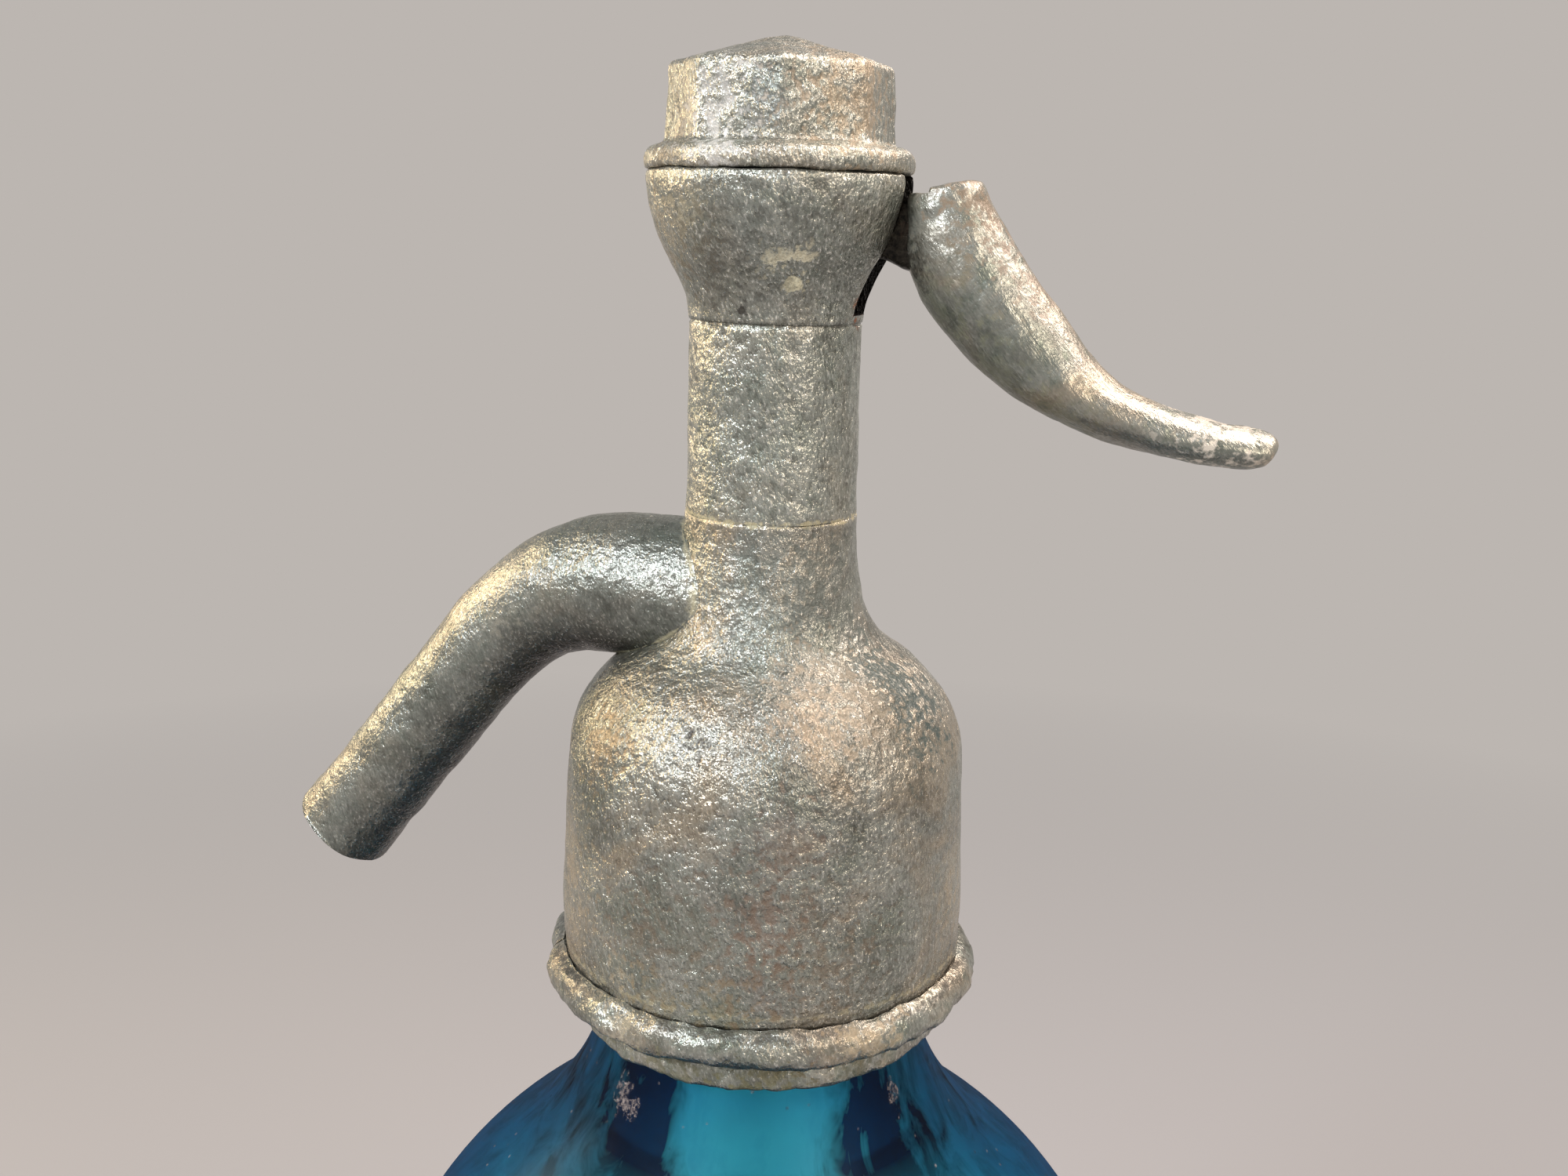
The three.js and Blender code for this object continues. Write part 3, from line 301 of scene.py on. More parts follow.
def mark_wear(piece, sharpest=1100):
    """Stores how sharply the skin bulges (rubbed bright) or hollows (grimy) at each point, as 'wear': 1 or -1 where
    it curves as much as sharpest, in 1/m."""
    shape = bmesh.new()
    shape.from_mesh(piece.data)
    shape.normal_update()
    bulge = []
    for vertex in shape.verts:
        ends = [edge.other_vert(vertex).co for edge in vertex.link_edges]
        middle = sum(ends, Vector()) / len(ends)
        square = sum((end - vertex.co).length_squared for end in ends) / len(ends)
        bulge.append(-2 * (middle - vertex.co).dot(vertex.normal) / max(square, 1e-12))
    bulge = [max(-sharpest, min(sharpest, b)) for b in bulge]
    neighbours = [[edge.other_vert(vertex).index for edge in vertex.link_edges] for vertex in shape.verts]
    for _ in range(3):
        bulge = [(b + sum(bulge[i] for i in near)) / (1 + len(near)) for b, near in zip(bulge, neighbours)]
    shape.free()
    worn = piece.data.attributes.new("wear", "FLOAT", "POINT")
    worn.data.foreach_set("value", [b / sharpest for b in bulge])


# Head base: the bell that screws over the collar, its shoulder and the lower half of the column, one casting.
# Pewter, cast and turned; its skin is left bare all round.
bell_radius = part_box("head_base")[1].x
joint_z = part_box("head_base")[1].z
bell_wall = 2.2 * mm
bell_bore = bell_radius - bell_wall
column_radius = 9.35 * mm
socket_radius = column_radius - 1.5 * mm
column_bore = 5.5 * mm
base_outline = smooth_outline(from_level(
    bell_z, (22.85, 0.6), (22.9, 5), (22.72, 12), (22.5, 18), (22.38, 21.2), (22.14, 24.1), (21.5, 26.9),
    (20.45, 29.2), (19.4, 30.8), (17.7, 32.7), (15.9, 34.15), (14.1, 35.4), (12.1, 37.2), (10.75, 39.8),
    (10.07, 42.6), (9.6, 45.7), (9.38, 48.5), (9.36, 50.2)), 4)
head_base = turn_about_z("head_base_casting", [
    (bell_bore, bell_z + 12 * mm), (bell_bore, bell_z), (bell_radius - 0.6 * mm, bell_z),
    (bell_radius - 0.2 * mm, bell_z + 0.2 * mm), *base_outline, (column_radius - 0.06 * mm, joint_z),
    (socket_radius, joint_z), (socket_radius, joint_z - 4 * mm), (column_bore, joint_z - 8 * mm),
    (column_bore, bell_z + 31 * mm), (bell_bore, bell_z + 17 * mm), (bell_bore, bell_z + 12 * mm)], 200)
roughen(head_base, 7 * mm, 0.2 * mm, 3.1)
mark_wear(head_base)
head_base.data.materials.append(pewter(
    "cast_pewter_bell", warmth=0.85, scratches=0.2, polish=0.1, green=0.12, dark=0.55, tone=1.08, pits=0.75,
    grime=[(bell_z + 0.2 * mm, 1.1 * mm, 0.5)],
    creams=[(joint_z - 0.1 * mm, 0.22 * mm, 0.75), (bell_z + 1.5 * mm, 0.3 * mm, 0.35)],
    stains_and_painted_light=[((7.4, -21.1, 21.3), 3, "5a4640", 0.4), ((5, -21.9, 13), 3.2, "614b44", 0.4),
           ((6.5, -21.7, 10.5), 2.6, "614b44", 0.35), ((5.5, -22, 5.1), 3, "5a4640", 0.4),
           ((16.9, -7.3, 31.9), 5, "515e5b", 0.95), ((13.7, -6.2, 34.7), 3.6, "57645f", 0.9),
           ((-18.4, -12.9, 13), 5, "b5a587", 0.4), ((-18.4, -12.9, 5), 4, "aa997c", 0.35),
           ((22.3, -2.7, 13), 5, "ada48f", 0.35), ((22.3, -2.7, 5), 4, "a2947c", 0.35),
           ((12.4, -6.3, 35.5), 3, "57645f", 0.8), ((19, -4.2, 30.7), 3.4, "515e5b", 0.8),
           ((3, -9.8, 42), 7, "8c9892", 0.3), ((7.6, -7.6, 43.5), 4.4, "5c625c", 0.65),
           ((-2.1, -19.9, 29.8), 1.1, "2f2a24", 0.85), ((-14.1, -15.9, 27.5), 3.4, "b39a72", 0.45),
           ((10.9, -13.3, 33.2), 5, "d2bda1", 0.45), ((-10.3, -20.5, 3.6), 1.6, "c3b79d", 0.5),
           ((1, -22.7, 1.6), 3, "8d8460", 0.4), ((-6, -21.9, 1.8), 3, "8d8460", 0.4),
           ((-8, -21.2, 8), 4, "6e5c46", 0.3), ((12, -19.4, 7), 4, "6e5c46", 0.3),
           ((-2, -22.4, 9), 7, "85735f", 0.25), ((9, -20.8, 11), 7, "85735f", 0.25)]))
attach(head_base, "siphon")
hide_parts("head_base")


# Head column: the upper half of the column and the slotted bulb that holds the lever, the second casting.
# Pewter; its foot is soldered on the lower half and a turned line runs round under the bulb.
def finish_with(piece, kind, **settings):
    """One modifier with its settings, applied at once."""
    modifier = piece.modifiers.new(kind, kind)
    for name, value in settings.items():
        setattr(modifier, name, value)
    bpy.context.view_layer.objects.active = piece
    bpy.ops.object.modifier_apply(modifier=kind)


def cut_away(piece, cutter):
    """Takes the cutter's shape out of a piece and throws the cutter away."""
    finish_with(piece, "BOOLEAN", operation="DIFFERENCE", object=cutter)
    bpy.data.objects.remove(cutter)


rim_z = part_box("head_column")[1].z
line_z = rim_z - 15.2 * mm
bulb_radius = 13.9 * mm
column_outline = [
    (column_radius - 0.06 * mm, joint_z + 0.03 * mm), (column_radius + 0.02 * mm, joint_z + 0.3 * mm),
    *smooth_outline([(column_radius, joint_z + 1 * mm), (9.22 * mm, joint_z + 10 * mm),
                     (9.17 * mm, line_z - 0.25 * mm)], 14),
    *from_level(line_z, (9.02, -0.12), (9.02, 0.08)),
    *smooth_outline([(9.2 * mm, line_z + 0.2 * mm), *from_level(
        rim_z, (9.5, -13.2), (9.9, -12), (10.55, -10.5), (11.3, -9.1), (12.1, -7.5), (12.85, -5.8), (13.4, -4.1),
        (13.75, -2.6)), (bulb_radius, rim_z - 1 * mm), (bulb_radius - 0.1 * mm, rim_z - 0.2 * mm)], 4)]
head_column = turn_about_z("head_column_casting", [
    *from_level(joint_z, (5.5, -3), (7.2, -3), (7.2, 0.03)), *column_outline, (bulb_radius - 0.4 * mm, rim_z),
    *from_level(rim_z, (10.6, 0), (10.6, -3.9), (6.4, -3.9), (6.4, -12), (5.5, -13)),
    (column_bore, joint_z - 3 * mm)], 160)
roughen(head_column, 6 * mm, 0.15 * mm, 7.7)
mark_wear(head_column)
slot_width = 5.2 * mm
slot_foot_z = rim_z - 14.2 * mm
bpy.ops.object.select_all(action="DESELECT")
bpy.ops.mesh.primitive_cube_add(size=1, location=(10 * mm, 0, slot_foot_z + 10 * mm),
                                scale=(20 * mm, slot_width, 20 * mm))
cut_away(head_column, bpy.context.object)
bpy.ops.object.select_all(action="DESELECT")
head_column.select_set(True)
bpy.ops.object.shade_smooth_by_angle(angle=math.radians(50))


def slot_shade(tree, place):
    """1 on the walls and foot of the lever slot, which are painted near black as painted shade inside the slot."""
    part = add_node(tree, "SeparateXYZ", {0: place}).outputs
    aside = add_node(tree, "Math", {0: part["Y"]}, operation="ABSOLUTE")
    between = add_node(tree, "Math", {0: aside, 1: slot_width / 2 + 0.05 * mm}, operation="LESS_THAN")
    outward = add_node(tree, "Math", {0: part["X"], 1: 3 * mm}, operation="GREATER_THAN")
    above_foot = add_node(tree, "Math", {0: part["Z"], 1: slot_foot_z - 0.05 * mm}, operation="GREATER_THAN")
    both = add_node(tree, "Math", {0: between, 1: outward}, operation="MULTIPLY")
    return add_node(tree, "Math", {0: both, 1: above_foot}, operation="MULTIPLY")


head_column.data.materials.append(pewter(
    "cast_pewter_column", warmth=0.35, lean=-0.3, scratches=0.4, green=0.35, dark=0.4, tone=1.36,
    # painted shade: the lever slot's walls and foot are painted near black
    extra=("151310", slot_shade),
    grime=[(line_z, 0.12 * mm, 0.6), (rim_z, 0.12 * mm, 0.7)], creams=[(joint_z + 0.2 * mm, 0.24 * mm, 0.75)],
    stains_and_painted_light=[((9.6, -1.8, 73), 1.3, "8a5432", 1), ((2.2, -11.4, 77.4), 1.15, "eee8ca", 0.85),
           ((3.8, -10.9, 77.6), 0.95, "eee8ca", 0.85), ((5.2, -10.2, 77.8), 1, "eee8ca", 0.8),
           ((4.3, -9.7, 75.4), 0.9, "ece6c4", 0.8), ((-9, -8.6, 80), 4, "b49f78", 0.35),
           ((-6.5, -11.8, 82.5), 2.2, "aaa68f", 0.4), ((-1.6, -9.4, 72.5), 0.7, "26221c", 0.9),
           ((-4.9, -9.7, 76.2), 3, "3c382f", 0.5), ((1.5, -12.4, 80), 5, "5b5c56", 0.35),
           ((-1, -11, 76.5), 3.2, "45433a", 0.35), ((-7.3, -5.6, 65.2), 2, "4a463c", 0.5)]))
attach(head_column, "siphon")
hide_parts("head_column")


# Screw cap: eight worn sides, a low pyramid top and a round flange, cast in one and screwed into the bulb.
# Pewter; the edges are soft from wrenches and hands, and a blind bore from below holds the spring.
cap_top_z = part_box("screw_cap")[1].z
cap_foot_z = rim_z + 0.3 * mm
side_foot_z = cap_foot_z + 1.5 * mm
side_foot_radius = 12.2 * mm
side_top_z = cap_top_z - 2.6 * mm
side_top_radius = 11.75 * mm
apex_rise = 0.45 * mm
bpy.ops.object.select_all(action="DESELECT")
bpy.ops.mesh.primitive_cone_add(vertices=8, radius1=side_foot_radius, radius2=side_top_radius,
                                depth=side_top_z - side_foot_z, location=(0, 0, (side_top_z + side_foot_z) / 2))
screw_cap = bpy.context.object
screw_cap.name = "screw_cap_casting"
for face in screw_cap.data.polygons:
    face.select = face.normal.z > 0.9
bpy.ops.object.mode_set(mode="EDIT")
bpy.ops.mesh.select_mode(type="FACE")
bpy.ops.mesh.poke()
bpy.ops.object.mode_set(mode="OBJECT")
apex = max(screw_cap.data.vertices, key=lambda v: v.co.z - v.co.xy.length)
apex.co += Vector((0.4 * mm, 0, cap_top_z + apex_rise - side_top_z))
bpy.ops.object.transform_apply(location=True, rotation=True, scale=True)
screw_cap.data.transform(Matrix.Rotation(lever_turn, 4, "Z"))
finish_with(screw_cap, "BEVEL", width=0.5 * mm, segments=2, limit_method="ANGLE", angle_limit=math.radians(25))
flange = turn_about_z("cap_flange", [
    *from_level(cap_foot_z, (0, -3), (10.3, -3), (10.3, -0.26)),
    *smooth_outline(from_level(cap_foot_z, (13.5, -0.28), (13.95, -0.05), (14.05, 0.7), (13.95, 1.4), (13.5, 1.95),
                               (12.6, 2.3), (11.5, 2.5)), 4),
    (0, cap_foot_z + 2.5 * mm)], 128)
bpy.ops.object.select_all(action="DESELECT")
screw_cap.select_set(True)
flange.select_set(True)
bpy.context.view_layer.objects.active = screw_cap
bpy.ops.object.join()
finish_with(screw_cap, "REMESH", mode="VOXEL", voxel_size=0.26 * mm)
finish_with(screw_cap, "SMOOTH", iterations=2)
bpy.ops.object.shade_smooth()
roughen(screw_cap, 4 * mm, 0.14 * mm, 1.3)
mark_wear(screw_cap, 1700)
spring_bore = 4.7 * mm
bore_top_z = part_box("main_spring")[1].z + 0.1 * mm
bpy.ops.object.select_all(action="DESELECT")
bpy.ops.mesh.primitive_cylinder_add(vertices=64, radius=spring_bore, depth=20 * mm,
                                    location=(0, 0, bore_top_z - 10 * mm))
cut_away(screw_cap, bpy.context.object)
screw_cap.data.materials.append(pewter(
    "cast_pewter_cap", warmth=0.6, lean=-0.3, scratches=0.85, green=0.2, dark=0.2, hollows=0.15, tone=1.25,
    grime=[(cap_foot_z - 0.2 * mm, 0.12 * mm, 0.6)],
    # painted light: the near-white patches are painted highlights, the tan one painted warm light, the grey one
    # painted shade
    stains_and_painted_light=[((1.4, -11.9, 92.8), 3, "5f686c", 0.5), ((9.5, -7, 93.5), 5.5, "cbb596", 0.5),
           ((-9.5, -10.5, 87.6), 3.8, "7f7766", 0.75), ((-4, -13.3, 88), 2.6, "f0f0ec", 0.5),
           ((-4.2, -11.3, 92.5), 3, "f2f2ee", 0.4)]))
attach(screw_cap, "siphon")
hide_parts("screw_cap")


# Spout: a tube with a thick root, bent down and cut square, soldered to the column's foot with a pale solder line.
# Pewter; drawn round a curve with a radius at each point, given its wall, and bored where the column runs through.
spout_wall = 1.85 * mm
root_bore = 6.2 * mm
spout_line = (
    (-2.5, 39.6, 8.9), (-7.5, 39.9, 8.8), (-12.5, 40.55, 8.4), (-17.44, 40.78, 8.0), (-24.03, 39.41, 7.23),
    (-29.31, 36.21, 6.46), (-33.79, 31.72, 6.16), (-38, 26.5, 6.08), (-42.3, 21.06, 6.01), (-46.43, 15.91, 5.98),
    (-49.96, 11.54, 6.04), (-53.5, 7.1, 6.12))
bpy.ops.object.select_all(action="DESELECT")
bpy.ops.curve.primitive_bezier_curve_add()
spout = bpy.context.object
spout.name = "spout_tube"
route = spout.data.splines[0]
route.bezier_points.add(len(spout_line) - 2)
for point, (x, z, radius) in zip(route.bezier_points, spout_line):
    point.co = (x * mm, 0, bell_z + z * mm)
    point.handle_left_type = point.handle_right_type = "AUTO"
    point.radius = radius
route.radius_interpolation = "CARDINAL"
spout.data.dimensions = "3D"
spout.data.resolution_u = 10
spout.data.bevel_depth = 1 * mm
spout.data.bevel_resolution = 22
bpy.ops.object.convert(target="MESH")
bpy.ops.object.transform_apply(location=True, rotation=True, scale=True)
finish_with(spout, "SOLIDIFY", thickness=spout_wall, offset=-1)
bpy.ops.object.select_all(action="DESELECT")
bpy.ops.mesh.primitive_cylinder_add(vertices=64, radius=root_bore, depth=60 * mm, location=(0, 0, bell_z + 40 * mm))
cut_away(spout, bpy.context.object)
spout.select_set(True)
finish_with(spout, "BEVEL", width=0.45 * mm, segments=3, limit_method="ANGLE", angle_limit=math.radians(60))
bpy.ops.object.shade_smooth_by_angle(angle=math.radians(60))
roughen(spout, 6 * mm, 0.2 * mm, 5.9)
mark_wear(spout)


def root_seam(tree, place):
    """Solder where the spout's skin meets the shoulder's, drawn from the shoulder's own outline in mm."""
    outline = ((30.7, 19.5), (32.8, 17.7), (35.3, 14.1), (37.2, 12.1), (39.8, 10.7), (42.6, 10.07), (45.7, 9.6),
               (50, 9.35))
    low, span = 30, 20
    part = add_node(tree, "SeparateXYZ", {0: place}).outputs
    flat = add_node(tree, "CombineXYZ", {0: part["X"], 1: part["Y"]})
    radius = add_node(tree, "VectorMath", {0: flat}, operation="LENGTH")
    share = add_node(tree, "MapRange", {"Value": part["Z"], "From Min": bell_z + low * mm,
                                        "From Max": bell_z + (low + span) * mm})
    shoulder = add_node(tree, "FloatCurve", {"Value": share})
    curve = shoulder.mapping.curves[0]
    curve.points[0].location = ((outline[0][0] - low) / span, outline[0][1] / span)
    curve.points[1].location = (1, outline[-1][1] / span)
    for z, r in outline[1:-1]:
        curve.points.new((z - low) / span, r / span)
    shoulder.mapping.update()
    shoulder_radius = add_node(tree, "Math", {0: shoulder, 1: span * mm}, operation="MULTIPLY")
    off = add_node(tree, "Math", {0: radius, 1: shoulder_radius}, operation="SUBTRACT")
    off = add_node(tree, "Math", {0: off, 1: 0.3 * mm}, operation="SUBTRACT")
    off = add_node(tree, "Math", {0: off}, operation="ABSOLUTE")
    breaks = add_node(tree, "TexNoise", {"Vector": place, "Scale": 1 / (1.6 * mm), "Detail": 4})
    width = add_node(tree, "MapRange", {"Value": breaks, "From Min": 0.36, "From Max": 0.6, "To Max": 0.6 * mm})
    return add_node(tree, "MapRange", {"Value": off, "From Min": width, "From Max": 0, "To Min": 0, "To Max": 0.8})


spout.data.materials.append(pewter(
    # painted shade: the spout's underside is darkened almost to black
    "cast_pewter_spout", warmth=0.35, scratches=0.25, polish=0.3, green=0.4, underside_shade=0.95,
    extra=("bdb697", root_seam), stains_and_painted_light=[((-31, -4, 40), 4.5, "d0cbba", 0.3)]))
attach(spout, "siphon")
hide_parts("spout")


# Collar: the split ring that grips under the bottle's bead; its round bead stands out below the bell.
# Pewter, knocked and uneven along the bead, rough and greenish on the band below it, packed with old grime above.
def round_corner(centre, radius, start, end, steps):
    """Points on an arc in the outline's plane; angles in degrees."""
    angles = [math.radians(start + (end - start) * i / steps) for i in range(steps + 1)]
    return [(centre[0] + radius * math.cos(a), centre[1] + radius * math.sin(a)) for a in angles]


split_turn = math.radians(23)
across_split = Vector((-math.sin(split_turn), math.cos(split_turn), 0))
half_gap = 0.15 * mm
band_foot_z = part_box("collar_half_front")[0].z - 0.3 * mm
collar_outline = [
    *from_level(bell_z, (18, -2), (18, 6.9), (20.4, 6.9), (20.4, -0.02), (22.9, -0.02)),
    *smooth_outline(from_level(bell_z, (23, 0.3), (23.7, 0), (24.4, -0.7), (24.8, -1.7), (24.85, -2.6),
                               (24.4, -3.4), (23.4, -3.95), (22.2, -4.2), (21.3, -4.3)), 3),
    *from_level(bell_z, (20.9, -4.6), (20.85, -5.2), (21.1, -5.6)),
    *round_corner((20.5 * mm, band_foot_z + 0.7 * mm), 0.65 * mm, 10, -85, 4),
    (18.7 * mm, band_foot_z), *from_level(bell_z, (18.7, -4), (18, -2))]
collar_pewter = pewter(
    "knocked_pewter_collar", warmth=0.8, scratches=0.3, green=0.6, polish=0.3, tone=1.15,
    grime=[(bell_z - 4.75 * mm, 0.5 * mm, 0.85), (bell_z - 0.1 * mm, 0.45 * mm, 0.6)],
    stains_and_painted_light=[((-9.2, -21, -3.3), 2.6, "d6ccb2", 0.5), ((11.1, -20, -4), 2.2, "6d4a35", 0.4),
           ((16.5, -18, -1.5), 3, "dcc7a2", 0.4), ((-4, -20.6, -6.8), 3.5, "6c6a48", 0.6),
           ((6, -20, -6.8), 3.5, "77734c", 0.6), ((-14, -15, -6.8), 3, "5e6048", 0.6),
           ((14, -15, -6.8), 3, "5e6048", 0.6)])
collar_knocks = (((-23.4, -7.8, -1.6), 3.2, 0.9), ((-10.5, -22.3, -1.2), 3.4, 0.7), ((3.5, -24.4, -3.2), 3.6, 0.6),
                 ((14.8, -19.7, -1.4), 3.4, 0.6), ((23.8, -5.6, -2.6), 3, 0.7), ((-2, 24.6, -2), 3.6, 0.7))
for node, side in (("collar_half_front", -1), ("collar_half_back", 1)):
    half = turn_about_z(node + "_casting", collar_outline, 200)
    bpy.ops.object.mode_set(mode="EDIT")
    bpy.ops.mesh.select_all(action="SELECT")
    bpy.ops.mesh.bisect(plane_co=across_split * side * half_gap, plane_no=across_split * -side, use_fill=True,
                        clear_outer=True)
    bpy.ops.object.mode_set(mode="OBJECT")
    roughen(half, 3.5 * mm, 0.3 * mm, 2.2)
    roughen(half, 1.4 * mm, 0.12 * mm, 9.2)
    for knock, reach, depth in collar_knocks:
        for vertex in half.data.vertices:
            share = 1 - (vertex.co - Vector((0, 0, bell_z)) - Vector(knock) * mm).length / (reach * mm)
            if share > 0:
                vertex.co -= Vector(knock).normalized() * depth * mm * share ** 1.5
    mark_wear(half)
    half.data.materials.append(collar_pewter)
    bpy.ops.object.shade_smooth_by_angle(angle=math.radians(55))
    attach(half, "siphon")
    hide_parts(node)


# Lever arm: a flat forged bar with an eye for the pivot pin, a thin nose in the rod's mortise and a tail cast into
# the horn. Dark iron, rusted along its edges; drawn section by section along its length.
def sweep_sections(name, sections, corners, squareness):
    """A closed solid through (x, height above the bell's foot, half depth, half width, direction) sections, in mm
    and degrees: a circle is extruded from section to section, then rounded by subdivision."""
    bpy.ops.object.select_all(action="DESELECT")
    bpy.ops.mesh.primitive_circle_add(vertices=corners, radius=1 * mm, location=(0, 0, 0))
    piece = bpy.context.object
    piece.name = name
    bpy.ops.object.mode_set(mode="EDIT")
    bpy.ops.mesh.select_all(action="SELECT")
    bpy.ops.object.mode_set(mode="OBJECT")
    for count, (x, z, half_depth, half_width, direction) in enumerate(sections):
        if count:
            bpy.ops.object.mode_set(mode="EDIT")
            bpy.ops.mesh.extrude_region_move()
            bpy.ops.object.mode_set(mode="OBJECT")
        angle = math.radians(direction)
        side = Vector((-math.sin(angle), 0, math.cos(angle)))
        middle = Vector((x * mm, 0, bell_z + z * mm))
        for i, vertex in enumerate([v for v in piece.data.vertices if v.select]):
            turn = 2 * math.pi * i / corners
            deep, wide = [math.copysign(abs(c) ** (1 - squareness), c) for c in (math.cos(turn), math.sin(turn))]
            vertex.co = middle + side * half_depth * mm * deep + Vector((0, half_width * mm * wide, 0))
    bpy.ops.object.mode_set(mode="EDIT")
    bpy.ops.mesh.edge_face_add()
    bpy.ops.mesh.select_all(action="SELECT")
    bpy.ops.mesh.region_to_loop()
    bpy.ops.mesh.edge_face_add()
    bpy.ops.mesh.select_all(action="SELECT")
    bpy.ops.mesh.normals_make_consistent(inside=False)
    bpy.ops.object.mode_set(mode="OBJECT")
    finish_with(piece, "SUBSURF", levels=3, render_levels=3)
    bpy.ops.object.shade_smooth()
    return piece


lever_arm = sweep_sections("lever_arm_forging", (
    (-1.7, 79.6, 0.7, 0.9, 0), (-1.3, 79.6, 1.1, 1.15, 0), (-0.3, 79.6, 1.35, 1.2, 0), (1.8, 79.6, 1.0, 1.2, 0),
    (4, 79.6, 0.95, 1.25, 0), (4.7, 79.6, 1.2, 1.4, 0), (5.4, 79.6, 2.2, 2.2, 0), (6.4, 79.6, 2.75, 2.35, 0),
    (7.5, 79.6, 2.85, 2.35, 0), (8.6, 79.6, 2.7, 2.35, 0), (9.8, 79.7, 2.2, 2.35, 0), (11, 79.8, 2.0, 2.35, 0),
    (12.1, 80, 2.6, 2.35, 0), (13, 80.3, 3.4, 2.35, 0), (14.1, 80.3, 3.9, 2.35, 0), (16, 79.8, 3.4, 2.3, 0),
    (18.8, 79, 2, 2, 0)), 16, 0.45)
roughen(lever_arm, 3 * mm, 0.08 * mm, 6.1)
mark_wear(lever_arm)
dark_iron, tree, place = new_material("dark_forged_iron")
scale_pits = add_node(tree, "TexNoise", {"Vector": place, "Scale": 1 / (0.5 * mm), "Detail": 3, "Roughness": 0.65})
blooms = add_node(tree, "TexNoise", {"Vector": place, "Scale": 1 / (2.6 * mm), "Detail": 6, "Roughness": 0.7})
rust = add_node(tree, "MapRange", {"Value": blooms, "From Min": 0.58, "From Max": 0.74, "To Max": 0.25})
forge_scale = add_node(tree, "ValToRGB", {"Fac": scale_pits}, stops=((0.35, "141210"), (0.68, "3a362f")))
colour = add_node(tree, "Mix", {0: rust, 6: forge_scale, 7: linear("5a3a26")}, data_type="RGBA")
metal = add_node(tree, "MapRange", {"Value": rust, "To Min": 0.8, "To Max": 0.05})
rough = add_node(tree, "MapRange", {"Value": rust, "To Min": 0.3, "To Max": 0.85})
bumps = add_node(tree, "Bump", {"Height": scale_pits, "Strength": 0.8, "Distance": 0.2 * mm})
skin = add_node(tree, "BsdfPrincipled", {"Base Color": colour, "Metallic": metal, "Roughness": rough,
                                         "Normal": bumps})
add_node(tree, "OutputMaterial", {"Surface": skin})
lever_arm.data.materials.append(dark_iron)
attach(lever_arm, "lever")
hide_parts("lever_arm")


# Lever horn: the thumb lever, an oval casting that swells, curves down and thins to a blunt tip.
# Pewter, rubbed smooth and warm along its top, where flat tan patches paint its soft highlight, with painted shade on
# its underside; its upper end is cut flat, with a small step.
step_x = 16.3 * mm
step_z = bell_z + 84.3 * mm
lever_horn = sweep_sections("lever_horn_casting", (
    (17.4, 85.25, 3.4, 3.4, -80), (17.4, 84.8, 3.95, 3.85, -79), (17.5, 83.7, 4.4, 4.1, -74),
    (17.82, 82.05, 4.7, 4.3, -69), (18.21, 80.83, 5.15, 4.66, -72), (18.85, 79.05, 5.5, 4.9, -67),
    (19.92, 76.99, 5.65, 5.06, -58), (21.6, 74.66, 5.6, 5.17, -51), (24.04, 71.83, 5.32, 5.2, -47),
    (27.15, 68.69, 4.96, 5.2, -43), (30.75, 65.68, 3.92, 5.09, -36), (34.81, 63.29, 3.04, 4.94, -24),
    (39.21, 61.77, 2.66, 4.71, -14.6), (43.63, 60.85, 2.38, 4.46, -9.4), (47.57, 60.29, 2.2, 4.17, -7),
    (49.8, 60.05, 2.1, 3.75, -14), (51.1, 59.85, 1.8, 3.3, -27), (51.75, 59.5, 1.15, 2.4, -33)), 20, 0)
for vertex in lever_horn.data.vertices:
    if vertex.co.x < step_x and vertex.co.z > step_z:
        vertex.co.z = step_z
roughen(lever_horn, 5 * mm, 0.16 * mm, 4.4)
mark_wear(lever_horn)
lever_horn.data.materials.append(pewter(
    "rubbed_pewter_horn", warmth=0.75, lean=-0.65, scratches=0.35, polish=0.7, green=0.6, underside_shade=0.4, dark=0.35,
    pits=0.24,
    # painted light: the tan patches along the top and the pale one near the tip are painted highlights; the grey one
    # is painted shade
    stains_and_painted_light=[((15.5, -3, 84.3), 1.6, "57493a", 0.5), ((16.4, -4, 81.8), 3.2, "85857a", 0.6),
           ((19, -1.5, 84.6), 2.4, "a5917a", 0.5), ((22, -1, 83), 3.8, "8e7f6c", 0.8),
           ((27.3, -1, 77.5), 3.6, "a09080", 0.55), ((17.5, -3.6, 73), 3.4, "70715a", 0.45),
           ((23.5, -3.6, 66.5), 3.4, "76775f", 0.45), ((30.5, -3.6, 62), 3, "7c7a60", 0.4),
           ((33, -1.5, 70.5), 3, "b3a496", 0.3), ((46.5, -1.5, 62.8), 3.6, "f6ecdc", 0.75),
           ((51.8, -1, 59.6), 1.5, "8f7a60", 0.5)]))
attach(lever_horn, "lever")
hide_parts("lever_horn")


